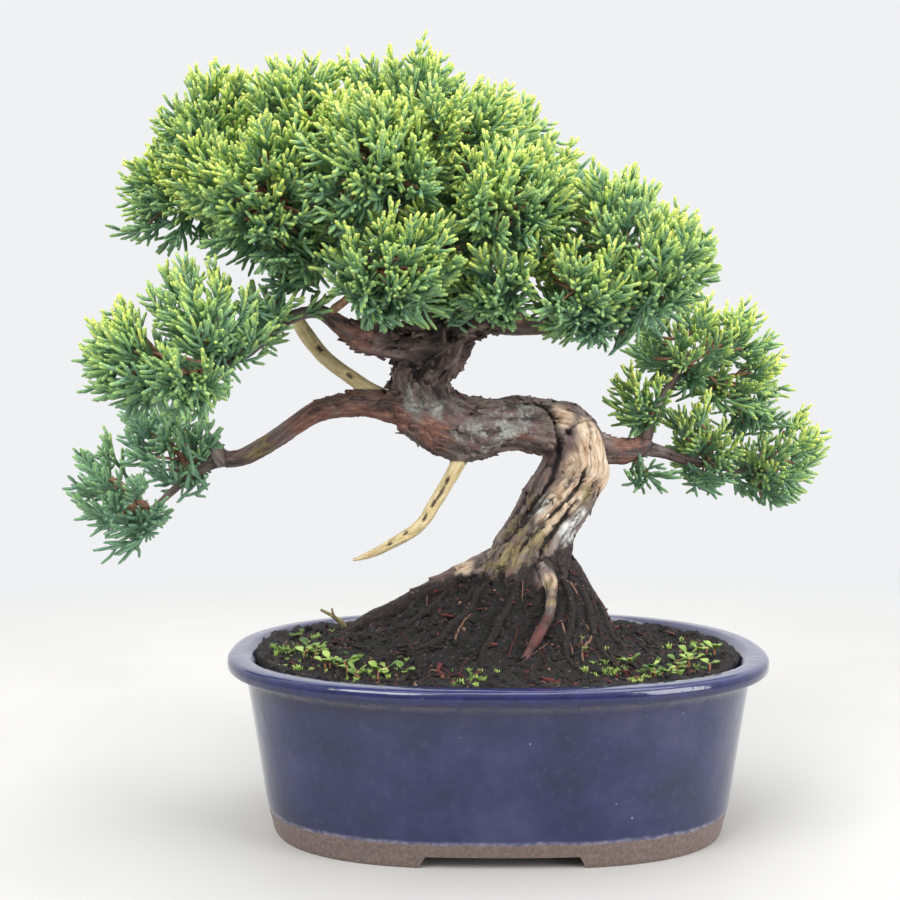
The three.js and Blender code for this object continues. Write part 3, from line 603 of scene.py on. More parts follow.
class Look:
    """A material and short calls for the nodes that it is made of."""

    def __init__(self, name, roughness=0.5):
        self.material = bpy.data.materials.new(name)
        self.material.use_nodes = True
        self.tree = self.material.node_tree
        self.shader = self.tree.nodes["Principled BSDF"]
        self.shader.inputs["Roughness"].default_value = roughness

    def node(self, kind, inputs=None, **settings):
        """A node with its settings. An input is a value or another node's output."""
        made = self.tree.nodes.new(kind)
        for key, value in settings.items():
            setattr(made, key, value)
        for key, value in (inputs or {}).items():
            self.feed(made.inputs[key], value)
        return made

    def feed(self, socket, value):
        """Links an output to the socket, or sets its value."""
        if isinstance(value, bpy.types.NodeSocket):
            self.tree.links.new(value, socket)
        else:
            socket.default_value = value

    def place(self):
        """The place on the object in millimetres."""
        where = self.node("ShaderNodeTexCoord").outputs["Object"]
        return self.node("ShaderNodeVectorMath", {0: where, 1: [1 / MM] * 3}, operation="MULTIPLY").outputs[0]

    def noise(self, where, scale, detail=3, roughness=0.55, distortion=0.0):
        """Cloudy noise, 0 to 1, with its size as features per millimetre."""
        inputs = {"Vector": where, "Scale": scale, "Detail": detail, "Roughness": roughness}
        inputs["Distortion"] = distortion
        return self.node("ShaderNodeTexNoise", inputs).outputs["Fac"]

    def cells(self, where, scale, feature="F1", output="Distance"):
        """Cells round scattered points."""
        inputs = {"Vector": where, "Scale": scale}
        return self.node("ShaderNodeTexVoronoi", inputs, feature=feature).outputs[output]

    def value(self, name):
        """A float value of the mesh's points."""
        return self.node("ShaderNodeAttribute", attribute_name=name).outputs["Fac"]

    def math(self, operation, first, second, clamp=False):
        """One sum."""
        inputs = {0: first, 1: second}
        return self.node("ShaderNodeMath", inputs, operation=operation, use_clamp=clamp).outputs[0]

    def times(self, first, second, clamp=False):
        """The two multiplied."""
        return self.math("MULTIPLY", first, second, clamp)

    def plus(self, first, second):
        """The two added."""
        return self.math("ADD", first, second)

    def fade(self, value, low, high, first=0.0, second=1.0):
        """The value's way from low to high, as a smooth way from first to second."""
        inputs = {"Value": value, "From Min": low, "From Max": high, "To Min": first, "To Max": second}
        return self.node("ShaderNodeMapRange", inputs, interpolation_type="SMOOTHSTEP").outputs["Result"]

    def mix(self, share, first, second, blend="MIX"):
        """Two colours mixed."""
        made = self.node("ShaderNodeMix", data_type="RGBA", blend_type=blend)
        self.feed(made.inputs[0], share)
        self.feed(made.inputs[6], first)
        self.feed(made.inputs[7], second)
        return made.outputs[2]

    def ramp(self, value, stops):
        """A colour ramp through stops of a place and red, green and blue."""
        made = self.node("ShaderNodeValToRGB", {"Fac": value})
        elements = made.color_ramp.elements
        for i, (at, *colour) in enumerate(stops):
            element = elements[i] if i < 2 else elements.new(at)
            element.position = at
            element.color = srgb(*colour)
        return made.outputs["Color"]

    def bump(self, height, depth, below=None):
        """A bump whose height of 1 stands for the depth in millimetres."""
        inputs = {"Height": height, "Distance": depth * MM, "Strength": 1.0}
        made = self.node("ShaderNodeBump", inputs)
        if below is not None:
            self.feed(made.inputs["Normal"], below)
        return made.outputs["Normal"]

    def done(self, colour, roughness=None, normal=None, **constants):
        """Feeds the shader. A constant is named as the socket is, with _ for a space."""
        self.feed(self.shader.inputs["Base Color"], colour)
        if roughness is not None:
            self.feed(self.shader.inputs["Roughness"], roughness)
        if normal is not None:
            self.feed(self.shader.inputs["Normal"], normal)
        for key, value in constants.items():
            self.shader.inputs[key.replace("_", " ")].default_value = value
        return self.material


def glaze_look():
    """Violet-blue glaze over grey-brown clay, thin on edges and pooled below them, with a painted highlight
    along the lip's top.
    """
    look = Look("glazed_stoneware")
    where = look.place()
    height = look.node("ShaderNodeSeparateXYZ", {0: where}).outputs["Z"]
    clouds = look.noise(where, 0.05, 5, 0.6)
    mottle = look.noise(where, 0.35, 4, 0.6)
    specks = look.cells(where, 0.45)
    body = look.ramp(clouds, [(0.32, 11, 20, 56), (0.5, 25, 31, 73), (0.68, 46, 46, 84)])
    body = look.mix(look.fade(mottle, 0.5, 0.75, 0, 0.25), body, srgb(64, 66, 100))
    body = look.mix(look.fade(specks, 0.1, 0.04), body, srgb(24, 24, 46))
    fizz = look.times(look.fade(look.cells(where, 0.2), 0.07, 0.04), look.fade(clouds, 0.5, 0.6))
    body = look.mix(look.times(fizz, 0.7), body, srgb(150, 160, 190))
    lip = look.ramp(mottle, [(0.3, 14, 17, 58), (0.7, 27, 30, 80)])
    body = look.mix(look.fade(height, 52.0, 53.0), body, lip)
    thin = look.times(look.fade(height, 48.8, 50.6), look.fade(height, 53.0, 52.2))
    body = look.mix(look.times(thin, look.fade(mottle, 0.3, 0.6, 0.1, 0.4)), body, srgb(104, 98, 106))
    # Painted highlight: a pale lavender sheen over the top face of the lip.
    body = look.mix(look.fade(height, 56.2, 57.1, 0, 0.16), body, srgb(90, 92, 146))
    edge = look.plus(height, look.times(look.noise(where, 0.09, 3), -1.8))
    glazed = look.fade(edge, GLAZE_EDGE - 1.4, GLAZE_EDGE - 1.1)
    rim = look.times(glazed, look.fade(edge, GLAZE_EDGE + 0.3, GLAZE_EDGE - 0.9))
    body = look.mix(look.times(rim, look.fade(mottle, 0.35, 0.65, 0.15, 0.6)), body, srgb(140, 136, 150))
    grain = look.noise(where, 0.9, 6, 0.7)
    clay = look.ramp(grain, [(0.3, 84, 70, 66), (0.5, 103, 87, 82), (0.75, 130, 113, 106)])
    clay = look.mix(look.fade(look.cells(where, 0.5), 0.14, 0.07, 0, 0.6), clay, srgb(70, 58, 56))
    colour = look.mix(glazed, clay, body)
    gloss = look.plus(0.07, look.times(look.noise(where, 0.6, 4), 0.14))
    roughness = look.node("ShaderNodeMix", {0: glazed, 2: 0.85, 3: gloss}, data_type="FLOAT").outputs[0]
    waves = look.bump(look.noise(where, 0.07, 3), 0.5)
    pits = look.bump(look.times(look.fade(look.cells(where, 0.33), 0.12, 0.05), -1.0), 0.12, waves)
    rough = look.bump(look.times(look.math("SUBTRACT", 1.0, glazed), grain), 0.18, pits)
    return look.done(colour, roughness, rough, Coat_Weight=0.35, Coat_Roughness=0.04)


def soil_look():
    """Dark moist soil with lighter granules, chips and fibres."""
    look = Look("bonsai_soil")
    where = look.place()
    grain = look.noise(where, 0.8, 6, 0.75)
    tone = look.value("tone")
    shades = [
        (0.35, 8, 7, 8), (0.58, 19, 15, 16), (0.74, 35, 27, 26), (0.87, 68, 49, 44),
        (0.95, 146, 108, 92),
    ]
    crumbs = look.ramp(look.cells(where, 1.1, output="Color"), shades)
    dust = look.ramp(look.cells(where, 2.6, output="Color"), shades)
    colour = look.mix(look.fade(grain, 0.42, 0.58), crumbs, look.mix(0.4, dust, srgb(16, 13, 14)))
    bits = look.ramp(tone, [
        (0.0, 16, 13, 14), (0.45, 44, 34, 31), (0.7, 78, 54, 46), (0.84, 138, 56, 52),
        (0.93, 172, 128, 104), (1.0, 190, 150, 126),
    ])
    colour = look.mix(look.fade(tone, 0.01, 0.05), colour, look.mix(0.35, bits, colour))
    lumps = look.times(look.cells(where, 1.1), -0.8)
    pitted = look.plus(lumps, look.noise(where, 2.2, 5, 0.7))
    return look.done(colour, look.fade(grain, 0.3, 0.8, 0.6, 0.95), look.bump(pitted, 1.1))


def bark_look():
    """Flaking grey-brown bark with pale, mossy and reddish places, bleached deadwood, and painted shade in
    its fissures, grooves, slits and hollows.
    """
    look = Look("juniper_bark")
    where = look.place()
    along = look.node("ShaderNodeAttribute", attribute_name="grain_place").outputs["Vector"]
    strands = look.noise(along, 1.0, 6, 0.65)
    flakes = look.noise(along, 0.3, 6, 0.62, 0.8)
    patches = look.noise(where, 0.12, 5, 0.62)
    specks = look.noise(where, 0.9, 4, 0.6)
    blotches = look.noise(where, 0.16, 3, 0.5, 0.6)
    colour = look.ramp(flakes, [
        (0.3, 58, 48, 47), (0.44, 98, 84, 79), (0.56, 132, 117, 110), (0.7, 166, 154, 146),
    ])
    plum = look.ramp(flakes, [(0.32, 74, 54, 54), (0.5, 118, 92, 90), (0.7, 150, 130, 126)])
    colour = look.mix(look.fade(blotches, 0.5, 0.6), colour, plum)
    red = look.ramp(strands, [(0.3, 80, 52, 46), (0.5, 136, 94, 82), (0.72, 178, 136, 114)])
    reddish = look.plus(look.value("red"), look.fade(patches, 0.56, 0.66, 0, 0.4))
    colour = look.mix(look.times(reddish, look.fade(flakes, 0.4, 0.52), True), colour, red)
    pale = look.ramp(strands, [
        (0.3, 112, 84, 66), (0.42, 182, 150, 120), (0.55, 218, 194, 166), (0.7, 238, 224, 206),
    ])
    colour = look.mix(look.times(look.value("pale"), look.fade(patches, 0.34, 0.44, 0.35, 1)), colour, pale)
    lichen = look.ramp(specks, [(0.35, 138, 138, 130), (0.6, 190, 190, 184)])
    crusted = look.times(look.value("lichen"), look.fade(look.noise(where, 0.19, 5, 0.62), 0.44, 0.6, 0, 0.9))
    colour = look.mix(crusted, colour, lichen)
    algae = look.ramp(strands, [(0.3, 74, 66, 40), (0.5, 134, 120, 76), (0.7, 184, 168, 118)])
    grown = look.times(look.value("algae"), look.fade(look.noise(where, 0.22, 5), 0.4, 0.54))
    colour = look.mix(look.times(grown, 0.8), colour, algae)
    white = look.times(look.value("white"), look.fade(flakes, 0.4, 0.5))
    colour = look.mix(white, colour, look.ramp(specks, [(0.3, 196, 196, 190), (0.6, 236, 235, 230)]))
    # Dark bark and painted shade in and round the hollows of the upper trunk.
    dark_bark_and_shade = look.ramp(flakes, [(0.34, 40, 33, 33), (0.52, 86, 72, 68), (0.68, 150, 126, 112)])
    colour = look.mix(look.times(look.value("dark_bark_and_shade"), look.fade(patches, 0.62, 0.4, 0.5, 1)), colour, dark_bark_and_shade)
    rust = look.ramp(strands, [(0.3, 56, 26, 26), (0.55, 116, 54, 50), (0.75, 150, 92, 76)])
    rusty = look.times(look.value("rust"), look.fade(specks, 0.36, 0.5, 0.35, 0.9))
    colour = look.mix(rusty, colour, rust)
    earth = look.ramp(specks, [(0.35, 30, 24, 24), (0.55, 50, 40, 38), (0.75, 88, 70, 60)])
    colour = look.mix(look.value("earth"), colour, earth)
    # Painted shade: the bark darkens where the ridge share is low, in fissures, grooves and hollows.
    colour = look.mix(look.fade(look.value("crest"), 0.52, 0.1, 0, 0.92), colour, srgb(30, 24, 24))
    straw = look.ramp(strands, [
        (0.25, 164, 134, 90), (0.42, 206, 182, 132), (0.6, 226, 208, 162), (0.8, 240, 228, 196),
    ])
    straw = look.mix(look.fade(look.noise(where, 0.3, 4), 0.56, 0.68, 0, 0.5), straw, srgb(156, 152, 102))
    # Painted shade in the slits of the deadwood, where the ridge share is low.
    straw = look.mix(look.fade(look.value("crest"), 0.95, 0.45), straw, srgb(66, 48, 38))
    colour = look.mix(look.value("dead"), colour, straw)
    colour = look.mix(1.0, colour, srgb(240, 241, 242), "MULTIPLY")
    height = look.plus(look.times(strands, 0.7), look.times(flakes, 0.9))
    height = look.plus(height, look.times(specks, 0.3))
    return look.done(colour, look.fade(strands, 0.2, 0.8, 0.92, 0.68), look.bump(height, 0.9))


def shoot_look():
    """Scale leaves: blue-green inside, yellow-green at the growing tips; the young value also carries painted
    light that brightens each pad's upper side.
    """
    look = Look("scale_leaves")
    where = look.place()
    patches = look.noise(where, 0.07, 3)
    varied = look.times(look.math("SUBTRACT", patches, 0.5), 0.4)
    young = look.plus(look.value("young"), varied)
    colour = look.ramp(young, [
        (0.0, 106, 147, 128), (0.2, 130, 171, 124), (0.4, 165, 200, 114),
        (0.6, 200, 220, 108), (0.8, 228, 238, 116), (1.0, 242, 246, 144),
    ])
    colour = look.mix(look.fade(look.value("tone"), 0.5, 1.0, 0, 0.25), colour, srgb(110, 154, 126))
    scales = look.cells(where, 1.0, "DISTANCE_TO_EDGE")
    colour = look.mix(look.fade(scales, 0.1, 0.0, 0, 0.4), colour, srgb(70, 108, 76))
    normal = look.bump(look.fade(scales, 0.0, 0.2), 0.2)
    return look.done(
        colour, look.fade(patches, 0.3, 0.7, 0.5, 0.62), normal,
        Subsurface_Weight=0.12, Subsurface_Radius=(0.4 * MM, 0.8 * MM, 0.2 * MM), Subsurface_Scale=1.0,
    )


def twig_look():
    """Reddish-brown papery bark of the youngest wood."""
    look = Look("twig_bark")
    where = look.place()
    tone = look.noise(where, 0.5, 5, 0.65)
    colour = look.ramp(tone, [(0.3, 104, 78, 62), (0.5, 154, 114, 90), (0.7, 196, 154, 122)])
    return look.done(colour, 0.75, look.bump(look.noise(where, 1.5, 4), 0.3))


def leaf_look():
    """Soft bright green leaves of the weeds and moss, on reddish stems."""
    look = Look("seedling_leaf")
    where = look.place()
    tone = look.plus(look.noise(where, 0.3, 3), look.times(look.value("young"), 0.4))
    colour = look.ramp(tone, [
        (0.35, 48, 74, 32), (0.55, 82, 114, 46), (0.7, 120, 148, 66), (0.9, 156, 178, 92),
    ])
    stem = look.fade(look.value("stem"), 0.3, 0.7)
    colour = look.mix(stem, colour, srgb(156, 104, 76))
    shine = dict(Subsurface_Weight=0.1, Subsurface_Radius=(0.5 * MM, 0.9 * MM, 0.3 * MM))
    return look.done(colour, 0.42, look.bump(look.noise(where, 1.2, 3), 0.15), **shine)


def dry_look():
    """Dry olive-tan twig."""
    look = Look("dry_twig")
    where = look.place()
    tone = look.noise(where, 0.9, 5)
    colour = look.ramp(tone, [(0.3, 104, 92, 58), (0.55, 150, 136, 90), (0.75, 186, 170, 124)])
    return look.done(colour, 0.8, look.bump(tone, 0.3))


def netting_look():
    """Dark plastic netting."""
    look = Look("plastic_netting", 0.6)
    tone = look.noise(look.place(), 0.4, 3)
    return look.done(look.ramp(tone, [(0.3, 44, 44, 42), (0.7, 60, 60, 58)]))


def floor_look():
    """Plain pale floor."""
    look = Look("studio_floor")
    where = look.place()
    tone = look.noise(where, 0.01, 3)
    colour = look.ramp(tone, [(0.35, 174, 173, 170), (0.65, 178, 177, 174)])
    away = look.node("ShaderNodeVectorMath", {0: where}, operation="LENGTH").outputs["Value"]
    alpha = look.fade(away, *FLOOR_FADE, 1.0, 0.0)
    look.feed(look.shader.inputs["Alpha"], alpha)
    return look.done(colour, look.fade(tone, 0.3, 0.7, 0.55, 0.65))


# Pot


def closed_loft(name, profile):
    """A closed body through superellipse rings at [inset, height] stations."""
    rings = [superellipse(inset, z, POT_SIDES) for inset, z in profile]
    return make_object(name, np.concatenate(rings), loft_faces(len(rings), POT_SIDES), [])


def cut(body, tool):
    """Cuts the tool out of the body, and removes the tool."""
    modifier = body.modifiers.new("cut", "BOOLEAN")
    modifier.operation = "DIFFERENCE"
    modifier.solver = "EXACT"
    modifier.object = tool
    apply_modifiers(body)
    bpy.data.objects.remove(tool)


def apply_modifiers(thing):
    """Keeps the mesh that the object's modifiers make."""
    shown = thing.evaluated_get(bpy.context.evaluated_depsgraph_get())
    mesh = bpy.data.meshes.new_from_object(shown)
    thing.modifiers.clear()
    thing.data = mesh


def foot_gap():
    """The space between the two feet, wider at the ground."""
    (low, high), deep = FOOT_GAP, 1.2 * LIP_B
    outline = [(-low, -1), (low, -1), (high, FOOT_HEIGHT), (-high, FOOT_HEIGHT)]
    points = [(x, y, z) for y in (-deep, deep) for x, z in outline]
    faces = [(0, 1, 2, 3), (7, 6, 5, 4), (0, 4, 5, 1), (1, 5, 6, 2), (2, 6, 7, 3), (3, 7, 4, 0)]
    return make_object("foot_gap", points, faces, [])


def drain_hole(x):
    """A round hole through the pot's floor."""
    angle = 2 * np.pi * np.arange(DRAIN_SIDES) / DRAIN_SIDES
    ring = np.stack([x + DRAIN_RADIUS * np.cos(angle), DRAIN_RADIUS * np.sin(angle), 0 * angle], axis=1)
    points = np.concatenate([ring + [0, 0, -1], ring + [0, 0, 2 * FLOOR]])
    return make_object("drain_hole", points, loft_faces(2, DRAIN_SIDES), [])


def build_pot():
    """The glazed pot with its two clay feet."""
    pot = closed_loft("glazed_pot", centripetal(OUTER_PROFILE, PROFILE_STEP))
    cut(pot, closed_loft("cavity", centripetal(INNER_PROFILE, PROFILE_STEP)))
    cut(pot, closed_loft("recess", [[RECESS_INSET + 1, -1], [RECESS_INSET, FOOT_HEIGHT]]))
    cut(pot, foot_gap())
    for side in (-1, 1):
        cut(pot, drain_hole(side * DRAIN_X))
    pot.data.materials.clear()
    pot.data.materials.append(glaze_look())
    mark_sharp(pot, 38)
    finish_piece(pot, "glaze", "pot")


# Soil


LONG_ROOT = centripetal(ROOTS[0], 1.5)


def mound_height(x, y):
    """Height of the soil, as a smooth heap round the trunk."""
    dx = x - MOUND_X
    side = np.where(dx < 0, np.abs(dx / MOUND_LEFT) ** 2, np.abs(dx / MOUND_RIGHT) ** 3)
    depth = np.abs(y / MOUND_DEPTH) ** 2.5
    return SOIL_LEVEL + MOUND_HEIGHT * np.exp(-side - depth)


def rough(x, y, scale, seed):
    """Smooth random value at a place, about -1 to 1."""
    return noise.noise(Vector((x * scale, y * scale, seed)))


def soil_height(x, y):
    """Height of the crumbly soil, which is drawn up along the long root."""
    crumbs = 1.2 * rough(x, y, 0.13, 3.1) + 1.5 * rough(x, y, 0.33, 9.7) + 1.3 * rough(x, y, 0.8, 5.3)
    ground = float(mound_height(x, y))
    away = np.hypot(LONG_ROOT[:, 0] - x, LONG_ROOT[:, 1] - y)
    root = LONG_ROOT[np.argmin(away)]
    rise = max(root[2] - ground, 0) * math.exp(-(away.min() / (root[3] + 3)) ** 2)
    bank = SOIL_BANK * smoothstep(*BANK_SPAN, rim_share(x, y))
    return ground + rise + bank + crumbs + 0.4 * rough(x, y, 1.7, 1.9)


def scattered(rng, spread=0.97):
    """A random place on the soil."""
    angle = rng.uniform(0, 2 * math.pi)
    share = math.sqrt(rng.random()) * spread
    power = 2 / LIP_POWER
    c, s = math.cos(angle), math.sin(angle)
    x = (LIP_A - SOIL_INSET) * math.copysign(abs(c) ** power, c) * share
    y = (LIP_B - SOIL_INSET) * math.copysign(abs(s) ** power, s) * share
    return x, y


def turned(points, angle):
    """Points turned about the z axis."""
    c, s = math.cos(angle), math.sin(angle)
    return points @ np.array([[c, s, 0], [-s, c, 0], [0, 0, 1]])


def lay_grains(batch, rng):
    """Rough granules, most of them dark."""
    corners, faces = ball(1)
    for _ in range(GRAIN_COUNT):
        x, y = scattered(rng)
        size = rng.choice([0.4, 0.65, 0.95, 1.35], p=[0.36, 0.38, 0.2, 0.06]) * rng.uniform(0.8, 1.25)
        points = corners * rng.uniform(0.7, 1.25, (len(corners), 1)) * rng.uniform(0.6, 1.2, 3) * size
        tone = 0.05 + 0.95 * rng.random() ** 2.4 * min(1, 0.85 / size)
        batch.add(turned(points, rng.uniform(0, 6)) + [x, y, soil_height(x, y)], [faces], 0, tone=tone)


def lay_chips(batch, rng):
    """Flat scraps of bark and wood."""
    for _ in range(CHIP_COUNT):
        x, y = scattered(rng, 0.93)
        size = np.array([rng.uniform(0.8, 2.4), rng.uniform(0.4, 1), 0.25])
        points = BOX_CORNERS * size * rng.uniform(0.75, 1.2, (8, 1))
        points[:, 2] += points[:, 0] * rng.normal(0, 0.35)
        at = [x, y, soil_height(x, y) + 0.3]
        laid = turned(points, rng.uniform(0, 6)) + at
        batch.add(laid, [BOX_FACES], 0, tone=0.3 + 0.6 * rng.random() ** 2)


def lay_fibres(batch, rng):
    """Thin dry roots that curl over the soil."""
    for _ in range(FIBRE_COUNT):
        x, y = scattered(rng, 0.85)
        turn, bend, step = rng.uniform(0, 6), rng.normal(0, 0.3), rng.uniform(0.8, 2.4)
        line = []
        for _ in range(6):
            line.append([x, y, soil_height(x, y) + rng.uniform(0, 0.5)])
            turn += bend
            x += step * math.cos(turn)
            y += step * math.sin(turn)
        radius = rng.uniform(0.1, 0.26)
        tone = rng.choice([0.3, 0.5, 0.8, 0.93], p=[0.4, 0.3, 0.18, 0.12])
        batch.tubes(np.array([line]), np.full((1, 4), radius), 4, tone=tone)


def lay_rootlets(batch):
    """Stouter roots at places of their own."""
    for thick, tone, roots in ROOTLETS.values():
        for spots in roots:
            places = centripetal(spots, 1.0)
            line = np.array([[x, y, soil_height(x, y) + 0.1 * thick] for x, y in places])
            radii = thick * np.sin(np.linspace(0.5, np.pi - 0.4, len(line) - 2))
            batch.tubes(line[None], radii[None], 7, tone=tone)


def build_soil(rng):
    """The soil body and the granules, chips and fine roots that lie on it."""
    batch = Batch()
    rings = [superellipse(22.6, FLOOR + 0.8, SOIL_SIDES), superellipse(12.4, 48, SOIL_SIDES)]
    rim = superellipse(9.4, SOIL_LEVEL, SOIL_SIDES)
    for share in np.linspace(1, 0.015, SOIL_RINGS):
        ring = rim * [share, share, 1]
        ring[:, 2] = [soil_height(x, y) for x, y in ring[:, :2]]
        rings.append(ring)
    faces = loft_faces(len(rings), SOIL_SIDES)
    batch.add(np.concatenate(rings), [[face] for face in faces], 0, tone=0.0)
    lay_grains(batch, rng)
    lay_chips(batch, rng)
    lay_fibres(batch, rng)
    lay_rootlets(batch)
    soil = batch.build("soil_surface", [soil_look()])
    finish_piece(soil, "soil", "soil")


def build_moss(rng, material):
    """Small mossy tufts between the weeds."""
    batch = Batch()
    for bed_x, bed_y, reach in MOSS_BEDS:
        for _ in range(TUFTS_PER_BED):
            x, y = rng.normal([bed_x, bed_y], reach / 2)
            if rim_share(x, y, MOSS_INSET) > 1:
                continue
            ground = soil_height(x, y)
            tall = rng.uniform(0.8, 2.1)
            lean = rng.normal(0, 0.7, (TUFT_BLADES, 3)) * [1, 1, 0] * tall / 2
            foot = np.array([x, y, ground - 0.5]) + rng.normal(0, 0.4, (TUFT_BLADES, 3)) * [1, 1, 0]
            head = foot + lean + np.array([0, 0, tall + 0.5]) * rng.uniform(0.6, 1, (TUFT_BLADES, 1))
            middle = foot * 0.45 + head * 0.55 - lean * 0.25
            lines = np.stack([foot, foot * 0.8 + middle * 0.2, middle, head], axis=1)
            batch.tubes(lines, np.tile([0.15, 0.2], (TUFT_BLADES, 1)), 4, young=rng.random(), stem=0.0)
    moss = batch.build("moss", [material])
    finish_piece(moss, "seedling")


# Wood


def swept(stations, sides, step=1.5):
    """Points and faces of a closed round limb through its stations."""
    line = centripetal(stations, step)
    tangents = unit(np.gradient(line[:, :3], axis=0))
    normals = steady_normals(tangents)
    binormals = np.cross(tangents, normals)
    angles = (2 * np.pi * np.arange(sides) / sides)[:, None]
    across = normals[:, None] * np.cos(angles) + binormals[:, None] * np.sin(angles)
    rings = line[:, None, :3] + line[:, None, 3:] * across
    return rings.reshape(-1, 3), loft_faces(len(line), sides)


def burl_mesh():
    """A lumpy ball."""
    points, faces = ball(4)
    lumps = 1 + 0.22 * noise_at(points, 2.1) + 0.12 * noise_at(points, 5)
    return points * lumps[:, None] * BURL_SIZE + BURL, faces


def strand_stations(strand):
    """Stations of a strand that stands a little out of the trunk's side."""
    rise = np.array(TRUNK[:TRUNK_RISE])
    stations = []
    for z, degrees, radius in strand:
        x, y, thick = (np.interp(z, rise[:, 2], rise[:, column]) for column in (0, 1, 3))
        reach = thick - radius + (STRAND_RELIEF if stations else -STRAND_SINK)
        turn = math.radians(degrees)
        stations.append([x + reach * math.cos(turn), y + reach * math.sin(turn), z, radius])
    return stations


Place = namedtuple("Place", "centre tangent normal radius run seed dead")


def centre_line(stations, seed, dead):
    """Places a millimetre apart along a limb, with a direction across it that never twists."""
    line = centripetal(stations, 1.0)
    tangents = unit(np.gradient(line[:, :3], axis=0))
    steps = np.linalg.norm(np.diff(line[:, :3], axis=0), axis=1)
    runs = np.concatenate([[0], np.cumsum(steps)])
    rows = zip(line, tangents, steady_normals(tangents), runs)
    return [Place(row[:3], tangent, normal, row[3], run, seed, dead) for row, tangent, normal, run in rows]


class Skeleton:
    """Finds the nearest place on the wood's centre lines."""

    def __init__(self, living, dead):
        self.living = [place for i, line in enumerate(living) for place in centre_line(line, i, 0)]
        self.living_tree = self.sort(self.living)
        self.places, self.tree = self.living, self.living_tree
        bare = [place for i, line in enumerate(dead) for place in centre_line(line, -1 - i, 1)]
        self.places = self.living + [place for place in bare if not self.inside(place.centre, 0.5)]
        self.tree = self.sort(self.places)

    def sort(self, places):
        """A search tree of the places."""
        tree = kdtree.KDTree(len(places))
        for i, place in enumerate(places):
            tree.insert(Vector(place.centre), i)
        tree.balance()
        return tree

    def nearest(self, point):
        """The place whose surface is nearest to the point. Living wood wins where it meets the deadwood."""
        best = self.closest(self.tree, self.places, point)
        if best.dead:
            living = self.closest(self.living_tree, self.living, point)
            if np.linalg.norm(point - living.centre) < living.radius + JIN_COLLAR:
                return living
        return best

    def closest(self, tree, places, point):
        """The place that lies nearest, with thicker wood allowed to lie deeper."""
        found = tree.find_n(Vector(point), 6)
        return places[min(found, key=lambda hit: hit[2] - 0.6 * places[hit[1]].radius)[1]]

    def inside(self, point, margin):
        """Whether the point is in the wood or nearer to it than the margin."""
        place = self.nearest(point)
        return np.linalg.norm(point - place.centre) < place.radius + margin


def living_wood():
    """Stations of every limb that has bark."""
    roots = [[ROOT_CROWN] + stations for stations in ROOTS]
    return [TRUNK, UPPER_TRUNK, *LIMBS.values(), *roots, *map(strand_stations, STRANDS), KNOB]


def build_tree(skeleton):
    """Trunk, roots, limbs, burl and deadwood under one skin of bark."""
    meshes = [swept(stations, 24 if stations[0][3] > 9 else 14) for stations in living_wood() + DEADWOOD]
    points, faces, count = [], [], 0
    for part_points, part_faces in meshes + [burl_mesh()]:
        points.append(part_points)
        faces.extend([[i + count for i in face] for face in part_faces])
        count += len(part_points)
    tree = make_object("juniper_wood", np.concatenate(points), faces, [])
    skin = tree.modifiers.new("skin", "REMESH")
    skin.mode = "VOXEL"
    skin.voxel_size = BARK_VOXEL * MM
    soften = tree.modifiers.new("soften", "SMOOTH")
    soften.factor = 0.5
    soften.iterations = 5
    apply_modifiers(tree)
    material = bark_look()
    tree.data.materials.append(material)
    carve_bark(tree.data, skeleton, material)
    finish_piece(tree, "bark", "tree")


def bark_relief(point, place):
    """The bark's height over the smooth skin, its share of ridge and its place along the grain."""
    offset = point - place.centre
    side = np.array([offset @ place.normal, offset @ np.cross(place.tangent, place.normal)])
    x, y = side / max(np.hypot(*side), 1e-6) * place.radius
    run = place.run + offset @ place.tangent
    far = 31.0 * place.seed
    fissure = 1 - 2.4 * abs(noise.noise((0.28 * x, 0.28 * y, 0.045 * run + far)))
    strand = 1 - 2.4 * abs(noise.noise((0.6 * x, 0.6 * y, 0.1 * run + far)))
    plate = math.floor(6 * noise.noise((0.33 * x, 0.33 * y, 0.2 * run + far))) / 6
    crumb = noise.noise((1.2 * x, 1.2 * y, 0.8 * run + far))
    swell = noise.noise(Vector(point) * 0.09)
    ridge = 0.55 * fissure + 0.3 * strand + 0.5 * plate
    if place.dead:
        return 0.25 * ridge, 1.0, 1.0, x, y, 0.22 * run + far
    hollow = sum(max(0, 1 - math.dist(point, spot[:3]) / spot[3]) for spot in HOLLOWS)
    thick = min(1.0, place.radius / 8) * (1 + 0.5 * float(smoothstep(*ROUGH_SPAN, point[2])))
    height = thick * (1.35 * ridge + 0.35 * crumb + 0.8 * swell - 0.35) - 3.2 * hollow
    # The ridge share drops in the hollows, which paints shade into them.
    return height, 0.45 + 0.6 * ridge + 0.15 * crumb - hollow, 0.0, x, y, 0.22 * run + far


def groove_shares(points, normals, lines, width):
    """How deep each point is in one of the grooves that are drawn on the front of the wood."""
    away = np.full(len(points), np.inf)
    for line in lines:
        spots = centripetal(line, 0.5)
        tapers = np.sqrt(np.sin(np.linspace(0.3, np.pi - 0.3, len(spots))))
        for (x, z), taper in zip(spots, tapers):
            away = np.minimum(away, np.hypot(points[:, 0] - x, points[:, 2] - z) / taper)
    ragged = noise_at(points, 0.45) + 0.6 * noise_at(points, 1.3)
    away = away * (1 + 0.9 * ragged)
    in_front = smoothstep(0.2, -0.3, normals[:, 1]) * (points[:, 2] > SOIL_LEVEL)
    return np.exp(-(away / width) ** 2) * in_front


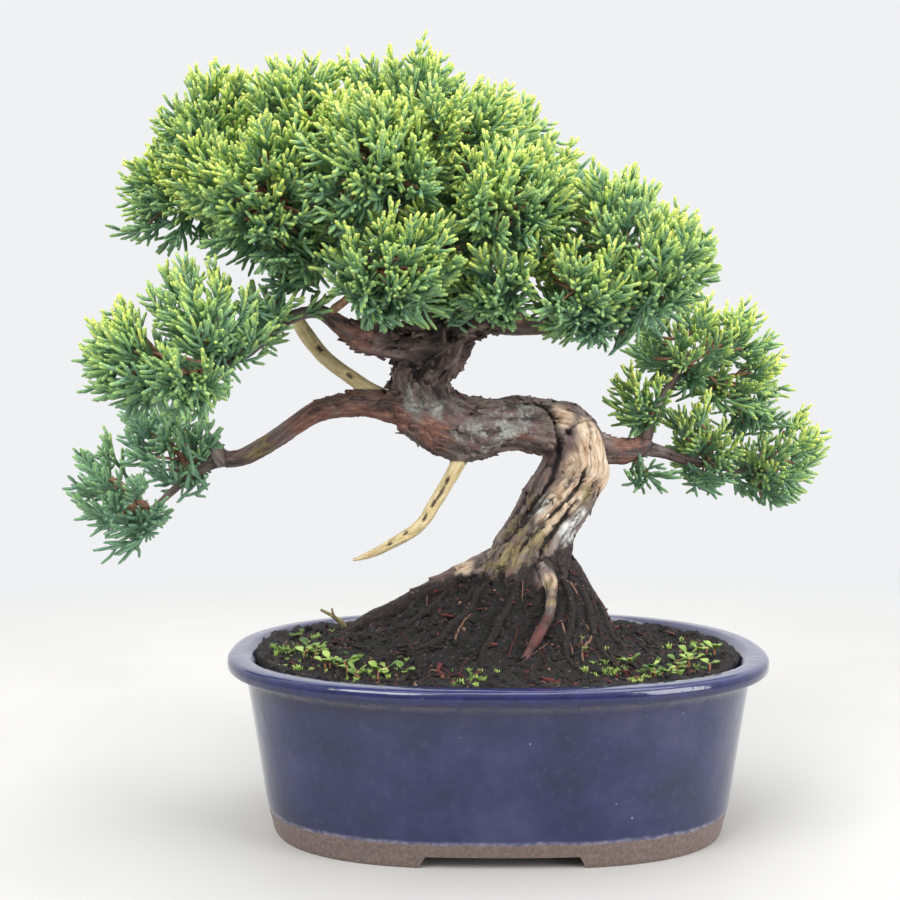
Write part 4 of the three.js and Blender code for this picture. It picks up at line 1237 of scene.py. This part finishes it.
def zone_shares(points):
    """How far each point is in each zone of colour, and how near to the soil."""
    shares = {}
    for name, spots in ZONES.items():
        away = np.stack([np.linalg.norm(points - spot[:3], axis=1) / spot[3] for spot in spots])
        shares[name] = smoothstep(1.0, 0.5, away.min(axis=0))
    limit = np.interp(points[:, 0], *np.transpose(EARTH_LINE))
    limit += 2.6 * noise_at(points, 0.3) + 1.6 * noise_at(points, 0.9)
    shares["earth"] = smoothstep(0.8, -0.6, points[:, 2] - mound_height(points[:, 0], points[:, 1]) - limit)
    shares["earth"] *= 1 - 0.8 * shares.pop("bare")
    return shares


def carve_bark(mesh, skeleton, material):
    """Moves the skin in and out by fissures and plates that run along each limb."""
    total = len(mesh.vertices)
    points = np.zeros(total * 3)
    mesh.vertices.foreach_get("co", points)
    points = to_pot(points.reshape(-1, 3))
    normals = np.array([vertex.normal for vertex in mesh.vertices])
    places = [skeleton.nearest(point) for point in points]
    relief = np.array([bark_relief(point, place) for point, place in zip(points, places)])
    dead = relief[:, 2]
    grooves = groove_shares(points, normals, GROOVES, GROOVE_WIDTH) * (1 - dead)
    grooves += groove_shares(points, normals, SLITS, SLIT_WIDTH) * dead
    relief[:, 0] -= GROOVE_DEPTH * grooves * (1 - 0.5 * dead)
    # Lowering the ridge share in the grooves and slits paints shade into them.
    relief[:, 1] -= grooves * (0.8 - 0.25 * dead)
    points += normals * relief[:, :1]
    mesh.vertices.foreach_set("co", to_frame(points).ravel())
    values = {"crest": relief[:, 1], "dead": relief[:, 2], "grain_place": relief[:, 3:6]}
    values.update(zone_shares(points))
    set_values(mesh, values)
    mesh.polygons.foreach_set("use_smooth", [True] * len(mesh.polygons))
    mesh.update()
    add_flakes(points, normals, places, values, material)


def add_flakes(points, normals, places, values, material):
    """Thin scraps of bark that curl off the thicker wood."""
    rng = np.random.default_rng(SEED + 200)
    rough_bark = [i for i, place in enumerate(places) if place.radius > 3.6 and not place.dead]
    weight = np.array([1 + 2.5 * (points[i, 2] > ROUGH_SPAN[0]) for i in rough_bark])
    chosen = rng.choice(rough_bark, FLAKE_COUNT, replace=False, p=weight / weight.sum())
    batch = Batch()
    for i in chosen:
        lift = rng.uniform(0.1, 0.45)
        tangent = places[i].tangent * rng.choice([-1, 1])
        across = unit(np.cross(normals[i], tangent) + rng.normal(0, 0.2, 3))
        way = unit(tangent * math.cos(lift) + normals[i] * math.sin(lift) + rng.normal(0, 0.08, 3))
        out = np.cross(way, across)
        length, width = rng.uniform(1.2, 3.4), rng.uniform(0.6, 1.8)
        along, side, up = (BOX_CORNERS * [0.5, 1, FLAKE_HALF] + [0.5, 0, 0]).T[:, :, None]
        corners = way * length * along + across * width * side * (1 - 0.5 * along) + out * up
        corners = points[i] - 0.5 * normals[i] + corners + rng.normal(0, 0.15, (8, 3))
        kept = {name: numbers[i] for name, numbers in values.items()}
        kept["crest"] = rng.uniform(0.4, 1)
        batch.add(corners, [BOX_FACES], 0, **kept)
    flakes = batch.build("bark_flakes", [material])
    finish_piece(flakes, "bark")


# Foliage


def shoot_tips(node):
    """Tips and directions of a CAD pad's shoots, from their small end faces."""
    mesh = node.data
    mesh.calc_loop_triangles()
    points = to_pot([v.co for v in mesh.vertices])
    corners = points[[tuple(t.vertices) for t in mesh.loop_triangles]]
    crossed = np.cross(corners[:, 1] - corners[:, 0], corners[:, 2] - corners[:, 0])
    area = np.linalg.norm(crossed, axis=1) / 2
    sides = np.linalg.norm(corners - np.roll(corners, 1, axis=1), axis=2)
    even = sides.max(axis=1) / sides.min(axis=1) < 1.03
    found = even & (np.abs(area - TIP_AREA) < 0.03)
    return corners[found].mean(axis=1), unit(crossed[found])


def of_pad(values, name):
    """The pad's own value, or the one of its part of the tree."""
    return values.get(name, values[name.split("_")[0]])


def side_of(directions, rng):
    """A random vector across each direction."""
    return unit(np.cross(directions, rng.normal(size=directions.shape)))


def room_in_pad(points, own):
    """How far each point is inside its own pad's room, negative where another pad's begins."""
    middle, reach = np.array(PADS[own][1]), PADS[own][2]
    room = LEADER_TOP - points[:, 2]
    own_power = ((points - middle) ** 2).sum(axis=1) - reach ** 2
    for name, (_, other, other_reach) in PADS.items():
        if name != own:
            power = ((points - other) ** 2).sum(axis=1) - other_reach ** 2
            room = np.minimum(room, (power - own_power) / (2 * np.linalg.norm(middle - other)))
    return room


def ball_places(name, middle, reach, spacing, rng):
    """Places spread over a lumpy ball, pushed out where it meets the pad's neighbours."""
    middle = np.array(middle, float)
    count = int(3 * 14 * (reach / spacing) ** 2)
    rank = np.arange(count) + 0.5
    height = 1 - 2 * rank / count
    turn = np.pi * (1 + math.sqrt(5)) * rank
    across = np.sqrt(1 - height ** 2)
    outward = rng.permutation(np.stack([across * np.cos(turn), across * np.sin(turn), height], axis=1))
    lumps = noise_at(middle + reach * outward, 0.07)
    places = middle + outward * reach * (0.94 + 0.28 * lumps + rng.uniform(-0.05, 0.07, count))[:, None]
    near_edge = np.exp(-np.maximum(room_in_pad(places, name), 0) / 4)[:, None]
    return places + outward * reach * 0.24 * near_edge


def spray_places(name, foot, skeleton, taken, rng):
    """Tips and directions of a pad's sprays: the CAD model's shoots and more in between."""
    middle = np.array(PADS[name][1], float)
    spacing = of_pad(SPACING, name)
    tips, directions = shoot_tips(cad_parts["foliage_" + name])
    order = np.argsort(-np.linalg.norm(tips - middle, axis=1) - 1e3 * (tips[:, 2] > LEADER_TOP))
    balls = [(middle, PADS[name][2]), *TUFTS.get(name, [])]
    grown = [ball_places(name, centre, reach, spacing, rng) for centre, reach in balls]
    places = np.concatenate([tips[order], *grown])
    ways = [unit(spots - centre) for spots, (centre, _) in zip(grown, balls)]
    outward = np.concatenate([directions[order], *ways])
    outward[:len(tips)] += unit(tips[order] - middle)
    outward = unit(outward) + 0.55 * unit(middle - foot) + [0, 0, 0.24]
    outward = unit(outward + rng.normal(0, 0.18, outward.shape))
    room = room_in_pad(places, name)
    lift = (places[:, 2] - middle[2]) / PADS[name][2]
    below, share = THIN_BELOW.get(name, (-math.inf, 0))
    left_out = (lift < below) & (rng.random(len(places)) < share)
    least = np.full(len(places), BALL_ROOM)
    least[:len(tips)] = -np.inf
    least[len(tips) + len(grown[0]):] = TUFT_ROOM
    left_out |= room < least
    kept = []
    for i, place in enumerate(places):
        if left_out[i] or (i >= len(tips) and skeleton.inside(place, WOOD_ROOM)):
            continue
        near = taken + [places[k] for k in kept]
        if not near or np.min(np.linalg.norm(np.array(near) - place, axis=1)) > spacing:
            kept.append(i)
    taken.extend(places[kept])
    return places[kept], outward[kept]


def grow_sprays(batch, tips, directions, glow, stretch, rng):
    """One forked spray for each tip: an axis with side shoots, the lower ones forked again."""
    count = len(tips)
    length = rng.uniform(*SPRAY_LENGTH, (count, 1)) * stretch[:, None]
    side = side_of(directions, rng)
    face = np.cross(directions, side)
    up = np.array([0, 0, 1.0])
    arch = unit(up - directions * (directions @ up)[:, None] + 0.3 * side)
    tone = rng.random(count)

    def on_axis(share):
        return tips - directions * length * (1 - share) - arch * (SPRAY_ARCH * 4 * share * (1 - share))

    shares = np.array([0.0, 0.06, 0.5, 0.82, 0.96, 1.0])
    axis = np.stack([on_axis(share) for share in shares], axis=1)
    young = OLD_GREEN + np.clip((shares - 0.45) / 0.5, 0, 1) * glow[:, None]
    radii = SHOOT_RADIUS * np.tile([0.9, 1.05, 1, 0.72], (count, 1))
    batch.tubes(axis, radii, SHOOT_SIDES, young=young, tone=tone[:, None])
    for j in range(SIDE_SHOOTS):
        share = 0.06 + 0.84 * (j + rng.uniform(0.2, 0.8, (count, 1))) / SIDE_SHOOTS
        turn = np.pi * (j % 2) + rng.normal(0, 0.4, (count, 1))
        turn = turn + (np.pi / 2) * (rng.random((count, 1)) < 0.15)
        out = side * np.cos(turn) + face * np.sin(turn)
        spread = rng.uniform(0.5, 0.82, (count, 1))
        start = on_axis(share)
        heading = directions * np.cos(spread) + out * np.sin(spread)
        reach = (4 + 7.2 * (1 - share)) * rng.uniform(0.8, 1.2, (count, 1)) * stretch[:, None] ** 0.6
        bent = unit(heading + 0.5 * directions + 0.15 * up)
        half = start + heading * reach * 0.5
        stations = [start, start + heading * reach * 0.12, half]
        stations += [half + bent * reach * 0.42, half + bent * reach * 0.5]
        bright = glow * (0.55 + 0.45 * share[:, 0]) * rng.uniform(0.8, 1.15, count)
        steps = [0 * bright, 0 * bright, 0.35 * bright, 0.95 * bright, bright]
        radii = SHOOT_RADIUS * np.tile([0.75, 1.02, 0.78], (count, 1)) * rng.uniform(0.9, 1.12, (count, 1))
        young = OLD_GREEN + np.stack(steps, axis=1)
        batch.tubes(np.stack(stations, axis=1), radii, SHOOT_SIDES, young=young, tone=tone[:, None])
        if j < FORKED_SHOOTS:
            fork(batch, half, heading, bent, reach, face, bright, tone, rng)


def fork(batch, half, heading, bent, reach, face, bright, tone, rng):
    """A pair of short shoots from the middle of each side shoot."""
    across = unit(np.cross(heading, face + 0.5 * rng.normal(size=face.shape)))
    for sign in (-1, 1):
        way = unit(heading + sign * 0.75 * across)
        short = np.maximum(reach * rng.uniform(0.4, 0.58, (len(reach), 1)), 3)
        root = half - heading * reach * (0.2 if sign > 0 else 0)
        low = root + way * short * 0.35
        end_way = unit(way + 0.4 * bent)
        stations = [root, low, low + end_way * short * 0.55, low + end_way * short * 0.68]
        young = OLD_GREEN + np.stack([0.1 * bright, 0.3 * bright, 0.95 * bright, bright], axis=1)
        radii = SHOOT_RADIUS * np.tile([0.92, 0.78], (len(reach), 1))
        batch.tubes(np.stack(stations, axis=1), radii, SHOOT_SIDES, young=young, tone=tone[:, None])


def grow_twigs(batch, tips, directions, foot, middle, rng):
    """Reddish twigs from the pad's foot on its limb to the base of every spray."""
    trunk_way = middle - foot
    bases = tips - directions * (0.85 * SPRAY_LENGTH[0])
    along = np.clip(((bases - foot) @ trunk_way) / (trunk_way @ trunk_way) - 0.3, 0.15, 1)[:, None]
    start = foot + trunk_way * along
    bend = start * 0.4 + bases * 0.6 - directions * 2 + rng.normal(0, 0.6, bases.shape)
    shares = np.array([0, 0.08, 0.5, 0.95, 1.0])[None, :, None]
    lines = start[:, None] * (1 - shares) ** 2 + 2 * bend[:, None] * shares * (1 - shares)
    lines = lines + bases[:, None] * shares ** 2
    radii = np.tile([0.7, 0.52, 0.5], (len(tips), 1))
    batch.tubes(lines, radii, 4, material=1, young=0.0, tone=0.0)
    main = np.linspace(0, 1, 9)[None, :, None]
    sway = np.sin(np.linspace(0, np.pi, 9))[None, :, None] * rng.normal(0, 0.8, 3)
    radii = np.linspace(1.5, 0.7, 7)[None]
    batch.tubes(foot + trunk_way * main + sway, radii, 7, material=1, young=0.0, tone=0.0)


def build_foliage(skeleton, shoot_material, twig_material):
    """A pad of fine sprays for each pad of the CAD model."""
    taken = []
    for number, (name, (limb, middle, reach)) in enumerate(PADS.items()):
        rng = np.random.default_rng(SEED + number)
        line = centripetal(LIMBS[limb], 1.0)[:, :3]
        foot = line[np.argmin(np.linalg.norm(line - middle, axis=1))]
        tips, directions = spray_places(name, foot, skeleton, taken, rng)
        lift = (tips[:, 2] - middle[2]) / reach
        # How yellow-green the tips grow: the pad's vigour, and painted light that makes each pad's upper side
        # lighter and yellower.
        glow = of_pad(VIGOUR, name) * np.clip(0.62 + 0.4 * lift + rng.normal(0, 0.06, len(tips)), 0.12, 1)
        wisps = (rng.random(len(tips)) < WISP_SHARE) & (lift < 0.2)
        stretch = np.where(wisps, WISP_LENGTH, 1.0)
        tips = tips + directions * (wisps * 0.4 * (WISP_LENGTH - 1) * SPRAY_LENGTH[0])[:, None]
        batch = Batch()
        grow_sprays(batch, tips, directions, glow, stretch, rng)
        grow_twigs(batch, tips, directions, foot, np.array(middle, float), rng)
        pad = batch.build("sprays_" + name, [shoot_material, twig_material])
        finish_piece(pad, "foliage", "foliage_" + name)


# Small plants in the soil


def leaf_points(length, width, cup):
    """A thin cupped leaf along +x from the origin, as two skins joined round the edge."""
    rows = [(0, 0.1), (0.28, 0.24), (0.48, 0.84), (0.7, 1), (0.89, 0.74), (1, 0.2)]
    top, bottom = [], []
    for along, wide in rows:
        for across in (-1, -0.5, 0, 0.5, 1):
            x = along * length
            y = across * wide * width / 2
            z = cup * (across * wide) ** 2 * length * 0.16 + 0.16 * length * along - 0.1 * length * along ** 2
            top.append((x, y, z + 0.18))
            bottom.append((x, y, z - 0.18))
    faces = []
    for row in range(len(rows) - 1):
        for i in range(4):
            a = 5 * row + i
            faces.append((a, a + 5, a + 6, a + 1))
            faces.append(tuple(index + 30 for index in (a, a + 1, a + 6, a + 5)))
    near, far = [5 * row for row in range(6)], [5 * row + 4 for row in range(5, -1, -1)]
    edge = [*near, 26, 27, 28, *far, 3, 2, 1]
    for a, b in zip(edge, edge[1:] + edge[:1]):
        faces.append((a, a + 30, b + 30, b))
    return np.array(top + bottom), faces


def add_weed(batch, x, y, tall, rng):
    """A weed seedling: leaves on short stalks round a reddish stem."""
    ground = soil_height(x, y)
    levels = [-2, -1, 0.6 * tall, tall, tall + 0.4]
    stem = np.array([[[x, y, ground + level] for level in levels]])
    batch.tubes(stem, np.array([[0.35, 0.32, 0.25]]), 6, young=0.2, stem=1.0)
    for leaf in range(rng.integers(2, 5)):
        length = LEAF_LENGTH * rng.uniform(0.55, 1.05)
        points, faces = leaf_points(length, length * rng.uniform(0.7, 0.9), rng.uniform(0.4, 1.2))
        pitch = rng.uniform(-0.15, 0.75)
        points[:, 2] += points[:, 0] * pitch
        points[:, 0] += 0.3
        at = [x, y, ground + tall - 0.4 * leaf]
        shaped = turned(points, leaf * 2.4 + rng.uniform(-0.4, 0.4)) + at
        batch.add(shaped, [[face] for face in faces], 0, young=rng.random(), stem=0.0)


def build_seedlings(material):
    """A clump of weed seedlings for each seedling of the CAD model."""
    names = sorted(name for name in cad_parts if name.startswith("seedling_"))
    for number, name in enumerate(names):
        rng = np.random.default_rng(SEED + 100 + number)
        low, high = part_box(name)
        spot = to_pot([(low.x + high.x) / 2, (low.y + high.y) / 2, low.z])
        batch = Batch()
        add_weed(batch, spot[0], spot[1], WEED_HEIGHT, rng)
        for _ in range(WEEDS_BESIDE):
            x, y = spot[:2] + rng.uniform(-CLUMP_REACH, CLUMP_REACH, 2)
            add_weed(batch, x, y, rng.uniform(1, WEED_HEIGHT), rng)
        clump = batch.build(name + "_leaves", [material])
        finish_piece(clump, "seedling", name)


def build_dead_twig():
    """The dry twig at the left, with the stub of a side twig."""
    batch = Batch()
    for stations in DEAD_TWIG:
        points, faces = swept(stations, 10, 0.8)
        batch.add(points, [[face] for face in faces])
    twig = batch.build("dry_twig", [dry_look()])
    finish_piece(twig, "dead_twig", "dead_twig")


def build_netting():
    """Squares of netting over the drain holes."""
    material = netting_look()
    for side in ("left", "right"):
        low, high = (to_pot(corner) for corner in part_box("drain_mesh_" + side))
        middle, half = (low + high) / 2, (high - low) / 2
        batch = Batch()
        for offset in np.linspace(-half[0] + NET_HALF, half[0] - NET_HALF, NET_BARS):
            along = ([half[0], NET_HALF, half[2]], [0, offset, 0])
            across = ([NET_HALF, half[1], half[2]], [offset, 0, 0])
            for size, shift in (along, across):
                batch.add(BOX_CORNERS * size + middle + shift, [BOX_FACES])
        net = batch.build("netting_" + side, [material])
        mark_sharp(net, 30)
        finish_piece(net, "netting", "drain_mesh_" + side)


# Studio


def place_camera():
    """The camera of the photograph."""
    camera = bpy.data.objects.new("camera", bpy.data.cameras.new("camera"))
    camera.data.lens = CAMERA_LENS
    camera.data.sensor_width = SENSOR
    camera.location = to_frame(CAMERA_AT)
    camera.rotation_euler = (math.pi / 2 + CAMERA_PITCH, 0, 0)
    bpy.context.scene.collection.objects.link(camera)
    bpy.context.scene.camera = camera


def soft_light(name, at, size, power):
    """A softbox that faces the plant."""
    light = bpy.data.lights.new(name, "AREA")
    light.shape = "RECTANGLE"
    light.size, light.size_y = size
    light.energy = power
    lamp = bpy.data.objects.new(name, light)
    lamp.location = at
    lamp.rotation_euler = (Vector(LIGHT_TARGET) - Vector(at)).to_track_quat("-Z", "Y").to_euler()
    bpy.context.scene.collection.objects.link(lamp)


def build_room():
    """A pale room, bright above and behind the plant and dimmer in front, where the glaze mirrors it."""
    world = bpy.data.worlds.new("studio")
    world.use_nodes = True
    nodes, link = world.node_tree.nodes, world.node_tree.links.new
    way = nodes.new("ShaderNodeSeparateXYZ")
    link(nodes.new("ShaderNodeTexCoord").outputs["Generated"], way.inputs[0])
    parts = []
    for axis, span in (("Y", [-0.9, 0.4, ROOM_FRONT, ROOM_BACK]), ("Z", [0.0, 0.8, 0, ROOM_ABOVE])):
        part = nodes.new("ShaderNodeMapRange")
        link(way.outputs[axis], part.inputs["Value"])
        for key, value in zip(("From Min", "From Max", "To Min", "To Max"), span):
            part.inputs[key].default_value = value
        parts.append(part.outputs["Result"])
    glow = nodes.new("ShaderNodeMath")
    link(parts[0], glow.inputs[0])
    link(parts[1], glow.inputs[1])
    seen = nodes.new("ShaderNodeMix")
    link(nodes.new("ShaderNodeLightPath").outputs["Is Camera Ray"], seen.inputs[0])
    link(glow.outputs[0], seen.inputs[2])
    seen.inputs[3].default_value = 1.0
    backdrop = nodes["Background"]
    backdrop.inputs["Color"].default_value = srgb(240, 241, 243)
    link(seen.outputs[0], backdrop.inputs["Strength"])
    bpy.context.scene.world = world


def build_studio():
    """A pale floor, a bright room and three softboxes."""
    outline = [(-1, -1), (1, -1), (1, 1), (-1, 1)]
    corners = [(FLOOR_REACH * x, FLOOR_REACH * y, -FLOOR_DROP) for x, y in outline]
    floor = make_object("floor", corners, [(0, 1, 2, 3)], [floor_look()])
    build_room()
    for name, (at, size, power) in LIGHTS.items():
        soft_light(name, at, size, power)
    bpy.context.scene.view_settings.view_transform = "Standard"


leaves = leaf_look()
skeleton = Skeleton(living_wood(), DEADWOOD)
place_camera()
build_studio()
build_pot()
build_netting()
build_soil(np.random.default_rng(SEED))
build_tree(skeleton)
build_foliage(skeleton, shoot_look(), twig_look())
build_seedlings(leaves)
build_moss(np.random.default_rng(SEED + 300), leaves)
build_dead_twig()
